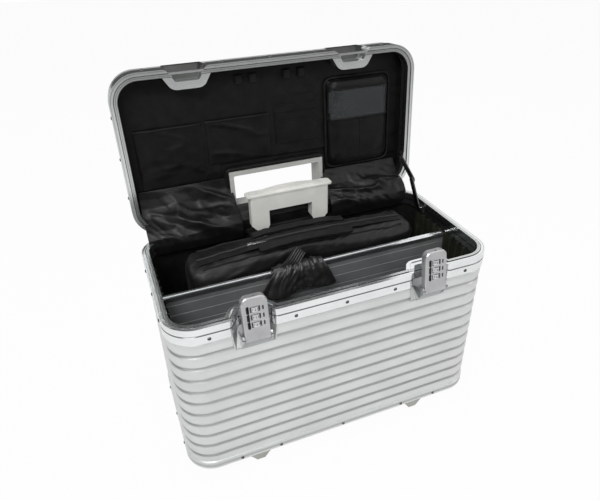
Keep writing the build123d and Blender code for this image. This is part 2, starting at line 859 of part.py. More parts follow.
def pen_loops():
    """Elastic loops under the lid's far edge."""
    loops = []
    for centre in (-48, -26, 28, 52):
        outer = block(centre - loop_width / 2, centre + loop_width / 2, -96, -84,
                      flip(organiser_level - loop_height), flip(organiser_level))
        hole = block(centre - loop_width / 2 + 1.2, centre + loop_width / 2 - 1.2, -97, -83,
                     flip(organiser_level - loop_height + 1.2), flip(organiser_level + 1))
        loops.append(outer - hole)
    return Compound(children=[solid for loop in loops for solid in loop.solids()])


def opening_frame():
    """Moulded tube through the lid that the pull-out handle comes up through."""
    wall = opening_wall
    frame_part = opening_cutter(wall, opening_bottom, lid_depth + 0.6)
    lip = opening_cutter(opening_lip, opening_bottom, opening_bottom + opening_lip_thickness)
    lip &= block(-200, 200, -200, half_depth - lining_face - 0.4, rim_z, flip(60))
    cap = opening_cutter(wall + opening_cap_width, lid_depth, lid_depth + opening_cap_height)
    cap &= block(-200, 200, -200, half_depth - lid_edge_radius, rim_z, flip(60))
    solid = frame_part + lip + cap
    solid -= opening_cutter(0.0, 0, 70)
    upright = solid.edges().filter_by(Axis.Z)
    inner = [e for e in upright if abs(abs(e.center().X) - opening_half) < 0.01 and e.length > 20]
    return fillet(inner, 3.0)


def opening_surround():
    """Padded collar round the opening."""
    low = opening_bottom + opening_lip_thickness
    high = organiser_level
    ring = opening_cutter(surround_border, low, high)
    ring &= block(-200, 200, -200, half_depth - lining_face - 0.4, rim_z, flip(60))
    ring = fillet(ring.edges().filter_by(Axis.Z).sort_by(Axis.Y)[:2], 10)
    return ring - opening_cutter(opening_wall + lining_gap, 0, 70)


def stay_point(back, rise):
    return hinge_y - back, rim_z + rise


def closed_to_open(y, z):
    """Where a point of the closed lid stands when the lid is open."""
    turn = radians(-open_angle)
    dy = y - hinge_y
    dz = z - rim_z
    return hinge_y + dy * cos(turn) - dz * sin(turn), rim_z + dy * sin(turn) + dz * cos(turn)


def stay_knee(near, far):
    """The knee of the two links between their outer pivots, on the front-up side."""
    gap = hypot(far[0] - near[0], far[1] - near[1])
    rise = (stay_link_length ** 2 - gap ** 2 / 4) ** 0.5
    middle = ((near[0] + far[0]) / 2, (near[1] + far[1]) / 2)
    across = (-(far[1] - near[1]) / gap, (far[0] - near[0]) / gap)
    return middle[0] + across[0] * rise, middle[1] + across[1] * rise


def stay_layout():
    body = stay_point(stay_body_back, -stay_body_drop)
    lid_closed = stay_point(stay_lid_back, stay_lid_rise)
    lid_open = closed_to_open(*lid_closed)
    return body, lid_closed, lid_open, stay_knee(body, lid_open), stay_knee(body, lid_closed)


def stay_sides():
    """X of the bracket's outer face and of each layer further in."""
    bracket = half_length - skirt_face
    upper = bracket - stay_bracket_thickness - 0.5
    lower = upper - stay_link_thickness - stay_gap
    return bracket, upper, lower


def link_bar(start, end, x_high):
    """A flat bar with round ends between two (y, z) points."""
    angle = degrees(atan2(end[1] - start[1], end[0] - start[0]))
    length = hypot(end[0] - start[0], end[1] - start[1])
    bar = Pos(0, length / 2, 0) * Box(stay_link_thickness, length, stay_link_width)
    for y in (0, length):
        bar += rod((-stay_link_thickness / 2, y, 0), (1, 0, 0), stay_link_width / 2, stay_link_thickness)
    return Pos(x_high - stay_link_thickness / 2, start[0], start[1]) * Rot(angle, 0, 0) * bar


def stay_upper_link():
    body, lid_closed, lid_open, knee, knee_closed = stay_layout()
    bracket, upper, lower = stay_sides()
    bar = link_bar(lid_open, knee, upper)
    bar -= rod((upper - 5, *lid_open), (1, 0, 0), stay_pin_radius + running_fit, 10)
    low = lower - stay_link_thickness
    bar += rod((low, *knee), (1, 0, 0), stay_pin_radius, upper - low)
    return bar


def stay_lower_link():
    body, lid_closed, lid_open, knee, knee_closed = stay_layout()
    bracket, upper, lower = stay_sides()
    bar = link_bar(body, knee, lower)
    bar -= rod((lower - 5, *knee), (1, 0, 0), stay_pin_radius + running_fit, 10)
    bar -= rod((lower - 5, *body), (1, 0, 0), stay_pin_radius + running_fit, 10)
    return bar


def stay_bracket(point, pin_end, low_side):
    """A small plate on the inner skirt with a pin for a link."""
    bracket, upper, lower = stay_sides()
    y, z = point
    base = block(bracket - stay_bracket_thickness, bracket, y - 9, y + 9,
                 min(z - 5.5, low_side), max(z + 5.5, low_side))
    return base + rod((pin_end, y, z), (1, 0, 0), stay_pin_radius, bracket - pin_end)


def stay_body_bracket():
    body = stay_layout()[0]
    bracket, upper, lower = stay_sides()
    return stay_bracket(body, upper - stay_link_thickness, rim_z - stay_body_drop - 5.5)


def stay_lid_bracket():
    lid_closed = stay_layout()[1]
    bracket, upper, lower = stay_sides()
    return stay_bracket(lid_closed, upper - stay_link_thickness, rim_z + rim_gap + 1.7)


def tube_pair(outer, inner, low, high):
    tubes = []
    for side in (-1, 1):
        tube = rod((side * tube_offset, tube_y, low), (0, 0, 1), outer, high - low)
        tubes.append(tube - rod((side * tube_offset, tube_y, low - 1), (0, 0, 1), inner, high - low + 2))
    return Compound(children=[solid for tube in tubes for solid in tube.solids()])


def handle_outer_tubes():
    return tube_pair(outer_tube_radius, outer_tube_radius - tube_wall, lining_floor + handle_base_height,
                     rim_z - collar_drop - collar_thickness)


def handle_mid_tubes():
    low = lining_floor + handle_base_height + tube_end_step
    return tube_pair(mid_tube_radius, mid_tube_radius - tube_wall, low, rim_z - collar_drop + tube_end_step)


def handle_inner_tubes():
    low = lining_floor + handle_base_height + 6 * tube_end_step
    return tube_pair(inner_tube_radius, inner_tube_radius - tube_wall, low, rim_z + grip_bar_bottom - 4)


def handle_base():
    """Block on the case's floor that the tubes stand on."""
    half = tube_offset + outer_tube_radius + 6
    back = half_depth - lining_face
    return block(-half, half, tube_y - outer_tube_radius - 1, back,
                 lining_floor, lining_floor + handle_base_height)


def handle_collar():
    """Plate fixed to the frame that guides the tubes."""
    half = tube_offset + outer_tube_radius + 8
    top = rim_z - collar_drop
    plate_part = block(-half, half, tube_y - outer_tube_radius - 2, half_depth - skirt_face,
                       top - collar_thickness, top)
    plate_part += block(-half, half, half_depth - skirt_face - 2.0, half_depth - skirt_face,
                        top - collar_thickness, top + 4)
    for side in (-1, 1):
        plate_part -= rod((side * tube_offset, tube_y, top - 20), (0, 0, 1),
                          mid_tube_radius + 2 * running_fit, 40)
    return plate_part


def pull_grip():
    """Arched grip with two legs and a lip that stands over the lid's opening."""
    low = tube_y - grip_depth / 2
    high = tube_y + grip_depth / 2
    legs = 8.0
    outline = [(-grip_half_length, grip_top), (-grip_half_length, grip_leg_bottom + legs),
               (-grip_half_length + legs, grip_leg_bottom), (-grip_gap_half - 3, grip_leg_bottom),
               (-grip_gap_half, grip_leg_bottom + 6), (-grip_gap_half, grip_bar_bottom),
               (grip_gap_half, grip_bar_bottom), (grip_gap_half, grip_leg_bottom + 6),
               (grip_gap_half + 3, grip_leg_bottom), (grip_half_length - legs, grip_leg_bottom),
               (grip_half_length, grip_leg_bottom + legs), (grip_half_length, grip_top)]
    body = profile_y([(x, rim_z + z) for x, z in outline], low, high)
    upright = [e for e in body.edges().filter_by(Axis.Z) if abs(e.center().X) > grip_half_length - 1]
    body = fillet(upright, 4.0)
    lip_half = grip_half_length + lip_overhang
    lip = block(-lip_half, lip_half, low - 1.5, high + 1.0,
                rim_z + grip_top - lip_thickness - 1, rim_z + grip_top - 1)
    lip = fillet(lip.edges().filter_by(Axis.Z), 4.0)
    body += lip
    half_x = grip_button_half + grip_button_gap
    half_y = grip_button_width / 2 + grip_button_gap
    pocket_floor = rim_z + grip_top - grip_button_seat - grip_button_travel - 0.5
    pocket = block(-half_x, half_x, tube_y - half_y, tube_y + half_y, pocket_floor, rim_z + grip_top + 1)
    body -= pocket
    for side in (-1, 1):
        foot = (side * tube_offset, tube_y, rim_z + grip_leg_bottom - 1)
        body -= rod(foot, (0, 0, 1), inner_tube_radius, grip_bar_bottom - 4 - grip_leg_bottom + 1)
        body -= rod(foot, (0, 0, 1), mid_tube_radius + 0.1, 1.6)
    return body


def grip_button():
    """Long arched release button in the top of the grip."""
    base = rim_z + grip_top - grip_button_seat
    top = rim_z + grip_top
    arc = ThreePointArc((-grip_button_half, 0, top), (0, 0, top + grip_button_crown),
                        (grip_button_half, 0, top))
    sides = Polyline((grip_button_half, 0, top), (grip_button_half, 0, base), (-grip_button_half, 0, base),
                     (-grip_button_half, 0, top))
    face = make_face(arc.edges() + sides.edges())
    low = tube_y - grip_button_width / 2
    return extrude(Pos(0, low, 0) * face, grip_button_width, dir=(0, 1, 0))


def carry_handle_mounts():
    mounts = []
    base = flip(lid_depth)
    rise = carry_lift + carry_thickness / 2
    for side in (-1, 1):
        x = side * (carry_half_length + 0.4 + carry_mount_width / 2)
        mount = block(x - carry_mount_width / 2, x + carry_mount_width / 2,
                      carry_pivot_y - 9, carry_pivot_y + 9, base, base + rise + 5)
        mount = fillet(mount.edges().filter_by(Axis.X).sort_by(Axis.Z)[-2:], 4.5)
        pin_start = (side * (carry_half_length - 8), carry_pivot_y, base + rise)
        mount += rod(pin_start, (side, 0, 0), carry_pin_radius, 8.4 + carry_mount_width - 1)
        mounts += mount.solids()
    return Compound(children=mounts)


def carry_handle():
    """Bail handle that lies on the lid and swings up."""
    base = flip(lid_depth) + carry_lift
    hand_depth = carry_reach - carry_bar + 12
    outer = RectangleRounded(2 * carry_half_length, carry_reach, 9)
    inner = RectangleRounded(2 * carry_half_length - 2 * carry_bar, hand_depth, 6)
    bow = Pos(0, carry_pivot_y - 6 + carry_reach / 2, base) * outer
    bow -= Pos(0, carry_pivot_y - 18 + hand_depth / 2, base) * inner
    bail = extrude(bow, carry_thickness, dir=(0, 0, 1))
    bail = bail.solids().sort_by(SortBy.VOLUME)[-1]
    pivot = (-carry_half_length - 1, carry_pivot_y, base + carry_thickness / 2)
    room = block(-carry_half_length - 1, carry_half_length + 1, carry_pivot_y, carry_pivot_y + carry_reach,
                 base - 1, base + carry_thickness + 1)
    room += rod(pivot, (1, 0, 0), carry_end_radius, 2 * carry_half_length + 2)
    bail &= room
    for side in (-1, 1):
        start = (side * (carry_half_length - 9), carry_pivot_y, base + carry_thickness / 2)
        bail -= rod(start, (side, 0, 0), carry_pin_radius + running_fit, 20)
    return bail


def notebook_sleeve():
    """Padded bag with a crowned top and rounded sides."""
    low = lining_floor
    shoulder = rim_z + bag_side_rise - bag_crown
    arc = ThreePointArc((bag_half_length, 0, shoulder), (0, 0, rim_z + bag_side_rise),
                        (-bag_half_length, 0, shoulder))
    sides = Polyline((-bag_half_length, 0, shoulder), (-bag_half_length, 0, low), (bag_half_length, 0, low),
                     (bag_half_length, 0, shoulder))
    face = make_face(arc.edges() + sides.edges())
    bag = extrude(Pos(0, bag_front, 0) * face, bag_thickness, dir=(0, 1, 0))
    upright = bag.edges().filter_by(Axis.Z)
    return fillet(upright, 16.0)


def sleeve_strap():
    """Padded strap folded over the divider's rail."""
    top = rim_z - divider_drop
    front = divider_y - rail_width / 2 - 0.3
    back = divider_y + rail_width / 2 + 0.3
    outline = [(front - strap_thickness, top - strap_front_drop), (front, top - strap_front_drop), (front, top),
               (back, top), (back, top - strap_back_drop), (back + 3.4, top - strap_back_drop),
               (back + 3.4, top + strap_thickness - 1), (back, top + strap_thickness),
               (front, top + strap_thickness), (front - strap_thickness, top + strap_thickness - 2)]
    return profile_x(outline, strap_left, strap_right)


def build():
    """Every piece, in its rest place with the lid open."""
    shapes["body_shell"] = body_shell()
    shapes["body_base"] = pan()
    shapes["body_frame"] = frame(-1)
    shapes["body_rivets"] = rivet_row(rim_z - rivet_drop, frame_wall, True)
    shapes["front_feet"] = front_feet()
    shapes["body_wells"] = wells(-1)
    shapes["body_lining"] = body_lining()
    shapes["end_racks"] = end_racks()
    shapes["hinge_body_leaf"] = hinge_leaf(-1)
    shapes["hinge_pin"] = hinge_pin()
    shapes["stay_body_bracket"] = stay_body_bracket()
    shapes["latch_brackets"] = latch_brackets()
    shapes["wheel_housings"] = wheel_housings()
    shapes["wheel_axles"] = wheel_axles()
    shapes["handle_outer_tubes"] = handle_outer_tubes()
    shapes["handle_collar"] = handle_collar()
    shapes["handle_base"] = handle_base()
    shapes["lid_shell"] = lid_place(lid_shell())
    shapes["lid_frame"] = lid_place(frame(1))
    shapes["lid_rivets"] = lid_place(rivet_row(rim_z + rivet_drop + rim_gap, frame_wall, False))
    shapes["lid_wells"] = lid_place(wells(1))
    shapes["lid_keepers"] = lid_place(lid_keepers())
    shapes["lid_lining"] = lid_place(lid_lining())
    shapes["organiser_panel"] = lid_place(organiser_panel())
    shapes["lid_pockets"] = lid_place(lid_pockets())
    shapes["card_pocket"] = lid_place(card_pocket())
    shapes["padded_pouch"] = lid_place(padded_pouch())
    shapes["pouch_window"] = lid_place(pouch_window())
    shapes["pen_loops"] = lid_place(pen_loops())
    shapes["hinge_lid_leaf"] = lid_place(hinge_leaf(1))
    shapes["stay_lid_bracket"] = lid_place(stay_lid_bracket())
    shapes["opening_frame"] = lid_place(opening_frame())
    shapes["opening_surround"] = lid_place(opening_surround())
    shapes["carry_handle_mounts"] = lid_place(carry_handle_mounts())
    shapes["carry_handle"] = lid_place(carry_handle())
    for side, name in ((-1, "left"), (1, "right")):
        shapes["latch_plate_" + name] = latch_plate(side)
        shapes["dial_shaft_" + name] = dial_shaft(side)
        for number, height in enumerate(dial_heights(), 1):
            shapes[f"dial_{name}_{number}"] = dial(side, height)
        shapes["wheel_hub_" + name] = wheel_hub(side)
        shapes["wheel_tyre_" + name] = wheel_tyre(side)
    shapes["stay_upper_link"] = stay_upper_link()
    shapes["stay_lower_link"] = stay_lower_link()
    shapes["divider_panel"] = divider_panel()
    shapes["divider_rail"] = divider_rail()
    shapes["sleeve_strap"] = sleeve_strap()
    shapes["notebook_sleeve"] = notebook_sleeve()
    shapes["handle_mid_tubes"] = handle_mid_tubes()
    shapes["handle_inner_tubes"] = handle_inner_tubes()
    shapes["pull_grip"] = pull_grip()
    shapes["grip_button"] = grip_button()


build()
boxes = [shape.bounding_box() for shape in shapes.values()]
near_y = min(box.min.Y for box in boxes)
far_y = max(box.max.Y for box in boxes)
top_z = max(box.max.Z for box in boxes)
shift = -(near_y + far_y) / 2
os.makedirs("parts", exist_ok=True)
for name, shape in shapes.items():
    export_step(Pos(0, shift, 0) * shape, f"parts/{name}.step")
print("nodes", len(shapes))
print("depth", round(far_y - near_y, 3), "height", round(top_z, 3), "moved along Y by", round(shift, 4))
print("hinge", round(hinge_y + shift, 4), rim_z)
print("latch pivot", round(latch_spot(1).Y + shift, 4), latch_spot(1).Z)
for label, point in zip(("body", "lid closed", "lid open", "knee open", "knee closed"), stay_layout()):
    print("stay", label, round(point[0] + shift, 4), round(point[1], 4))
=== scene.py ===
# %% [markdown]
# # A ribbed pilot case, standing open
#
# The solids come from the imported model. This lesson gives them their finishes, swaps the plain
# soft solids for sewn and stuffed ones, and adds the small trim. All lengths are in metres, and
# numbers ending in `* MM` are written in millimetres.

# %% Load the model
import json
import math
import random

import bpy
from mathutils import Matrix, Vector, noise


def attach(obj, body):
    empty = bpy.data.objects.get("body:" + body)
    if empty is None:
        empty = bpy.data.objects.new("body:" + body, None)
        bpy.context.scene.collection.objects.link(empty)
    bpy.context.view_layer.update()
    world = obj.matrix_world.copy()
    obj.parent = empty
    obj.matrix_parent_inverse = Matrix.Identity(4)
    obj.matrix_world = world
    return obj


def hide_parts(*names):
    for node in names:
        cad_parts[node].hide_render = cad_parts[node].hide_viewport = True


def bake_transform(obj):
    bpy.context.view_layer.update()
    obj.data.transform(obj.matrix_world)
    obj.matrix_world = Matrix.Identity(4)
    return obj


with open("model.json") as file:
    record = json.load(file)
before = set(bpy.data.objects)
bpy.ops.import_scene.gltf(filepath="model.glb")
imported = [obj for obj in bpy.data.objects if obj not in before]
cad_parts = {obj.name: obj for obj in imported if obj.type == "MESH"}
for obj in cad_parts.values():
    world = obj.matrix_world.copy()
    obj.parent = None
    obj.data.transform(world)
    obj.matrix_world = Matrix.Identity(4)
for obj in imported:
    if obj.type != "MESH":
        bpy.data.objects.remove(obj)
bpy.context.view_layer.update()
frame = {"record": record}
MM = 0.001
joints = {joint["name"]: joint for joint in frame["record"]["behaviour"]["joints"]}
HINGE = Vector(joints["lid_hinge"]["pos_m"])
HALF_DEPTH = 118 * MM
HINGE_BEHIND = 122 * MM
SHIFT = HINGE.y - HINGE_BEHIND
FRONT = SHIFT - HALF_DEPTH
RIM = HINGE.z
OPEN_ANGLE = math.radians(94)
print("the hinge is at", tuple(round(c, 4) for c in HINGE), "and the front at", round(FRONT, 4))

# %% [markdown]
# ## Camera
# The photograph looks down on the front left corner. The place and lens below came from fitting
# the body's edges and grooves, so the picture lines up before any finish is made.

# %% Set the camera
def aim(yaw, pitch, roll):
    """The camera's axes from three angles in degrees."""
    yaw, pitch, roll = (math.radians(angle) for angle in (yaw, pitch, roll))
    ahead = Vector((math.sin(yaw) * math.cos(pitch), math.cos(yaw) * math.cos(pitch), math.sin(pitch)))
    right = Vector((math.cos(yaw), -math.sin(yaw), 0))
    up = right.cross(ahead)
    right, up = (right * math.cos(roll) + up * math.sin(roll), up * math.cos(roll) - right * math.sin(roll))
    return Matrix((right, up, -ahead)).transposed()


camera_data = bpy.data.cameras.new("camera")
camera_data.sensor_width = 36
camera_data.lens = 31.93
camera = bpy.data.objects.new("camera", camera_data)
bpy.context.scene.collection.objects.link(camera)
camera.matrix_world = (Matrix.Translation((-0.2534, FRONT - 0.4985, 0.6992))
                       @ aim(20.77, -32.22, -1.43).to_4x4())
bpy.context.scene.camera = camera
print("camera at", tuple(round(c, 3) for c in camera.location))

# %% [markdown]
# ## Finishes
# Shader maths is easier to read as sums. The small class below wraps one socket, so that
# `1 - mask * 0.3` adds its own Math nodes. A second class holds one material.

# %% Wrap a socket
class Value:
    """A socket that takes part in sums."""

    def __init__(self, tree, socket):
        self.tree = tree
        self.socket = socket

    def math(self, operation, other=0.0, swapped=False, clamp=False):
        node = self.tree.nodes.new("ShaderNodeMath")
        node.operation = operation
        node.use_clamp = clamp
        pair = (other, self) if swapped else (self, other)
        for slot, item in zip(node.inputs, pair):
            put(self.tree, slot, item)
        return Value(self.tree, node.outputs[0])

    def __add__(self, other):
        return self.math("ADD", other)

    def __sub__(self, other):
        return self.math("SUBTRACT", other)

    def __rsub__(self, other):
        return self.math("SUBTRACT", other, swapped=True)

    def __mul__(self, other):
        return self.math("MULTIPLY", other)

    __radd__ = __add__
    __rmul__ = __mul__


def put(tree, slot, item):
    if isinstance(item, Value):
        tree.links.new(item.socket, slot)
    else:
        slot.default_value = item


class Finish:
    """A material with one Principled shader."""

    def __init__(self, name, **constants):
        self.material = bpy.data.materials.new(name)
        self.material.use_nodes = True
        self.tree = self.material.node_tree
        self.shader = self.tree.nodes["Principled BSDF"]
        for socket, value in constants.items():
            self.shader.inputs[socket.replace("_", " ")].default_value = value

    def node(self, kind, settings=None, inputs=None, output=0):
        made = self.tree.nodes.new("ShaderNode" + kind)
        for key, value in (settings or {}).items():
            setattr(made, key, value)
        for key, value in (inputs or {}).items():
            put(self.tree, made.inputs[key], value)
        return Value(self.tree, made.outputs[output])

    def place(self, scale=(1, 1, 1), turn=(0, 0, 0)):
        """Object coordinates, turned and then scaled to a pattern's size."""
        spot = self.node("TexCoord", output="Object")
        return self.node("Mapping", inputs={"Vector": spot, "Rotation": turn, "Scale": scale})

    def noise(self, scale, turn=(0, 0, 0), detail=3.0, rough=0.55):
        return self.node("TexNoise", inputs={"Vector": self.place(scale, turn), "Scale": 1.0,
                                             "Detail": detail, "Roughness": rough})

    def ramp(self, value, low, high):
        """Stretches a value so that low becomes 0 and high becomes 1."""
        return self.node("MapRange", inputs={0: value, 1: low, 2: high, 3: 0.0, 4: 1.0})

    def tint(self, factor, dark, light):
        """Mixes two colours."""
        mixer = self.tree.nodes.new("ShaderNodeMix")
        mixer.data_type = "RGBA"
        put(self.tree, mixer.inputs[0], factor)
        for index, shade in ((6, dark), (7, light)):
            put(self.tree, mixer.inputs[index], shade if isinstance(shade, Value) else (*shade, 1))
        return Value(self.tree, mixer.outputs[2])

    def dress(self, colour=None, roughness=None, height=None, relief=0.0005, strength=0.6):
        """Feeds the shader, with a Bump node for the height."""
        if colour is not None:
            put(self.tree, self.shader.inputs["Base Color"], colour)
        if roughness is not None:
            put(self.tree, self.shader.inputs["Roughness"], roughness)
        if height is not None:
            bump = self.node("Bump", inputs={"Height": height, "Distance": relief, "Strength": strength})
            put(self.tree, self.shader.inputs["Normal"], bump)
        return self.material


print("sockets add up")

# %% [markdown]
# ### Rolled aluminium
# The case's sheet is bead-rolled and anodised. It is pale and satin, with a fine grain along the
# ribs and soft clouds, and shade is painted along the bottom of each groove. The groove's place is
# worked out from the height, so the painted shade stays in the groove.

# %% Rolled sheet
RIB_PITCH = 20.9
FIRST_GROOVE = 261.0


def rolled_sheet(name, turn, grooves):
    finish = Finish(name, Metallic=0.85, Specular_IOR_Level=0.5)
    grain = finish.noise((30, 900, 900), turn, 2.0)
    clouds = finish.noise((14, 14, 14), turn, 4.0)
    shade = finish.tint(finish.ramp(clouds, 0.3, 0.7), (0.69, 0.705, 0.695), (0.78, 0.795, 0.79))
    if grooves:
        height = finish.node("SeparateXYZ", inputs={0: finish.place()}, output="Z")
        phase = (FIRST_GROOVE * MM - height) * (1 / (RIB_PITCH * MM)) + 0.5
        below = phase.math("FRACT") - 0.5
        under_groove = 1 - finish.ramp(below, 0.03, 0.13)
        over_groove = finish.ramp(below, -0.24, -0.03)
        # Painted shade: the bottom of each groove is darkened towards a dark grey, as the groove's shadow.
        groove_shade = under_groove * over_groove * (clouds * 0.9 + 0.35)
        shade = finish.tint(groove_shade * 0.62, shade, (0.18, 0.185, 0.175))
    rough = finish.ramp(grain, 0.2, 0.8) * 0.10 + clouds * 0.10 + 0.29
    return finish.dress(shade, rough, grain, 0.00008, 0.35)


sheet_body = rolled_sheet("rolled_sheet_body", (0, 0, 0), True)
sheet_lid = rolled_sheet("rolled_sheet_lid", (-OPEN_ANGLE, 0, 0), False)
print("rolled sheet:", sheet_body.name, sheet_lid.name)

# %% [markdown]
# ### Drawn frames, bright steel and worn paint
# The rims are drawn aluminium: brighter than the sheet, with long die lines and small scuffs. Shade
# is painted on them too: a dark line in the face's groove, and thin dark lines and a darker band set
# in from the rim's edge, for the shadows of its steps and the dark reflections of its rounded edges.
# Pins and rivets are turned steel, and the rivet heads are made near black as a painted dark
# reflection. The latch levers are cast and painted a mid grey.

# %% How far in from the rim's edge a point lies
HALF_LENGTH = 235 * MM
CORNER = 40 * MM
# Painted shade: thin dark lines on the rim, each given as its inset, half width in millimetres and darkness, for
# the shadow of the rim's step and the dark reflections of its edges.
RIM_SHADE_LINES = ((0.4, 0.15, 0.50), (4.3, 0.35, 0.90), (7.0, 0.1, 0.5), (9.4, 0.2, 0.6))


def rim_inset(x, y):
    """The distance in from a rectangle with round corners, for a place in the closed case's plan."""
    over_x = x.math("ABSOLUTE") - (HALF_LENGTH - CORNER)
    over_y = y.math("ABSOLUTE") - (HALF_DEPTH - CORNER)
    corner_x, corner_y = over_x.math("MAXIMUM", 0.0), over_y.math("MAXIMUM", 0.0)
    round_part = (corner_x * corner_x + corner_y * corner_y).math("SQRT")
    return CORNER - round_part - over_x.math("MAXIMUM", over_y).math("MINIMUM", 0.0)


print("rim lines at", [middle for middle, wide, dark in RIM_SHADE_LINES], "mm")

# %% Other metals
def drawn_metal(name, low, high, rough, metallic=0.95, scuffs=0.12, along=(25, 1200, 1200), line=None):
    """Metal with long die lines; line gives the height and depth directions of a painted groove shadow, and turns
    on painted shade lines along the rim.
    """
    finish = Finish(name, Metallic=metallic)
    lines = finish.noise(along, detail=2.0)
    clouds = finish.noise((22, 22, 22), detail=3.0)
    scratches = finish.noise((300, 90, 300), detail=6.0, rough=0.7)
    marks = finish.ramp(scratches, 0.66, 0.74) * scuffs
    shade = finish.tint(finish.ramp(clouds, 0.3, 0.7), low, high)
    shade = finish.tint(marks, shade, tuple(0.55 * c for c in low))
    if line:
        spot = finish.place()
        along_x, along_y, along_z = (finish.node("SeparateXYZ", inputs={0: spot}, output=axis) for axis in "XYZ")
        behind, above = along_y - HINGE.y, along_z - HINGE.z
        level = (behind * line[0] + above * line[1]).math("ABSOLUTE")
        # Painted shade: a dark line along the groove in the rim's face, 10.5 mm from the rim's plane.
        groove = 1 - finish.ramp((level - 10.5 * MM).math("ABSOLUTE"), 0.8 * MM, 1.3 * MM)
        shade = finish.tint(groove * 0.85, shade, (0.10, 0.105, 0.10))
        inset = rim_inset(along_x, behind * line[1] - above * line[0] + HINGE_BEHIND)
        # Painted shade: the recessed band from 4.6 to 10 mm in from the rim's edge is darkened a little.
        inner = finish.ramp(inset, 4.6 * MM, 5.0 * MM) * (1 - finish.ramp(inset, 9.8 * MM, 10.2 * MM))
        shade = finish.tint(inner * 0.30, shade, (0.16, 0.165, 0.16))
        # Painted shade lines at the listed insets.
        for middle, wide, dark in RIM_SHADE_LINES:
            stripe = 1 - finish.ramp((inset - middle * MM).math("ABSOLUTE"), wide * MM, (wide + 0.35) * MM)
            shade = finish.tint(stripe * dark, shade, (0.04, 0.042, 0.04))
    return finish.dress(shade, lines * 0.08 + marks * 0.3 + rough, lines + marks, 0.00004, 0.3)


frame_metal = drawn_metal("drawn_frame", (0.82, 0.84, 0.84), (0.91, 0.93, 0.93), 0.12, line=(0, 1))
# Painted shade: the lid's frame is the same drawn aluminium as the body's, given a darker colour for the shade on
# the lid.
lid_frame_shaded_metal = drawn_metal("drawn_lid_frame_shaded", (0.76, 0.78, 0.78), (0.86, 0.88, 0.88), 0.13,
                              line=(math.sin(OPEN_ANGLE), math.cos(OPEN_ANGLE)))
tube_metal = drawn_metal("drawn_tube", (0.62, 0.64, 0.64), (0.72, 0.74, 0.74), 0.20, along=(1200, 1200, 25))
steel = drawn_metal("turned_steel", (0.42, 0.43, 0.44), (0.56, 0.57, 0.58), 0.18)
dark_steel = drawn_metal("blackened_steel", (0.05, 0.05, 0.052), (0.10, 0.10, 0.104), 0.24)
# Painted reflection: the rivet heads are steel, made near black for the dark reflection they show.
rivet_metal = drawn_metal("rivet_head", (0.05, 0.05, 0.055), (0.13, 0.13, 0.14), 0.24, scuffs=0.5,
                          along=(400, 400, 400))
divider_metal = drawn_metal("divider_sheet", (0.34, 0.355, 0.36), (0.44, 0.455, 0.46), 0.36, metallic=0.6)
bright_trim = drawn_metal("bright_trim", (0.75, 0.77, 0.78), (0.88, 0.89, 0.90), 0.15)
print("metals:", frame_metal.name, steel.name, rivet_metal.name, divider_metal.name)

# %% Cast and painted parts, and moulded plastic
def grained(name, low, high, rough, pebble, relief, metallic=0.0, specular=0.5):
    """Moulded or painted skin with a fine pebble grain and faint clouds."""
    finish = Finish(name, Metallic=metallic, Specular_IOR_Level=specular)
    cells = finish.node("TexVoronoi", {"feature": "SMOOTH_F1"},
                        {"Vector": finish.place((1 / pebble,) * 3), "Scale": 1.0, "Smoothness": 0.6},
                        "Distance")
    clouds = finish.noise((35, 35, 35), detail=5.0)
    rub = finish.ramp(finish.noise((150, 150, 150), detail=6.0, rough=0.65), 0.60, 0.75)
    shade = finish.tint(finish.ramp(clouds, 0.3, 0.7), low, high)
    shade = finish.tint(rub * 0.3, shade, tuple(min(1, 1.5 * c + 0.01) for c in high))
    return finish.dress(shade, clouds * 0.15 + rub * 0.1 + rough, 1 - cells, relief, 0.5)


latch_paint = grained("latch_paint", (0.46, 0.46, 0.47), (0.58, 0.58, 0.59), 0.26, 0.0009, 0.00004, 0.7)
grey_plastic = grained("grey_plastic", (0.44, 0.445, 0.425), (0.55, 0.555, 0.53), 0.42, 0.0011, 0.00008)
grip_plastic = grained("grip_plastic", (0.74, 0.74, 0.705), (0.84, 0.84, 0.80), 0.36, 0.0012, 0.00006)
foot_plastic = grained("foot_plastic", (0.37, 0.37, 0.34), (0.50, 0.50, 0.46), 0.48, 0.0012, 0.0001)
well_metal = grained("well_casting", (0.58, 0.59, 0.58), (0.70, 0.71, 0.70), 0.30, 0.0010, 0.00005, 0.75)
# Painted shade: the lid's wells are the same casting as the body's wells, painted near black for the shadow inside
# the lid's recesses.
lid_well_painted_shade = grained("lid_well_shaded_casting", (0.03, 0.032, 0.03), (0.06, 0.063, 0.06), 0.42, 0.0010, 0.00005, 0.3,
                         specular=0.3)
black_plastic = grained("black_plastic", (0.010, 0.011, 0.010), (0.020, 0.022, 0.019), 0.38, 0.0012, 0.0001,
                        specular=0.3)
rack_plastic = grained("rack_plastic", (0.016, 0.018, 0.012), (0.034, 0.037, 0.027), 0.38, 0.0015, 0.0001,
                       specular=0.3)
dial_metal = grained("dial_metal", (0.66, 0.66, 0.665), (0.76, 0.76, 0.77), 0.22, 0.0010, 0.00002, 0.8)
tyre_rubber = grained("tyre_rubber", (0.016, 0.016, 0.016), (0.035, 0.034, 0.032), 0.68, 0.0010, 0.00012)
print("plastics:", grey_plastic.name, foot_plastic.name, black_plastic.name, dial_metal.name)

# %% [markdown]
# ### Cloth
# The lining is a thin black cloth with a dull shine, and the bags are a tighter nylon. Both get a
# plain weave from two sine waves, and soft creases from stretched noise, so that flat areas still
# look like cloth pulled over a board.

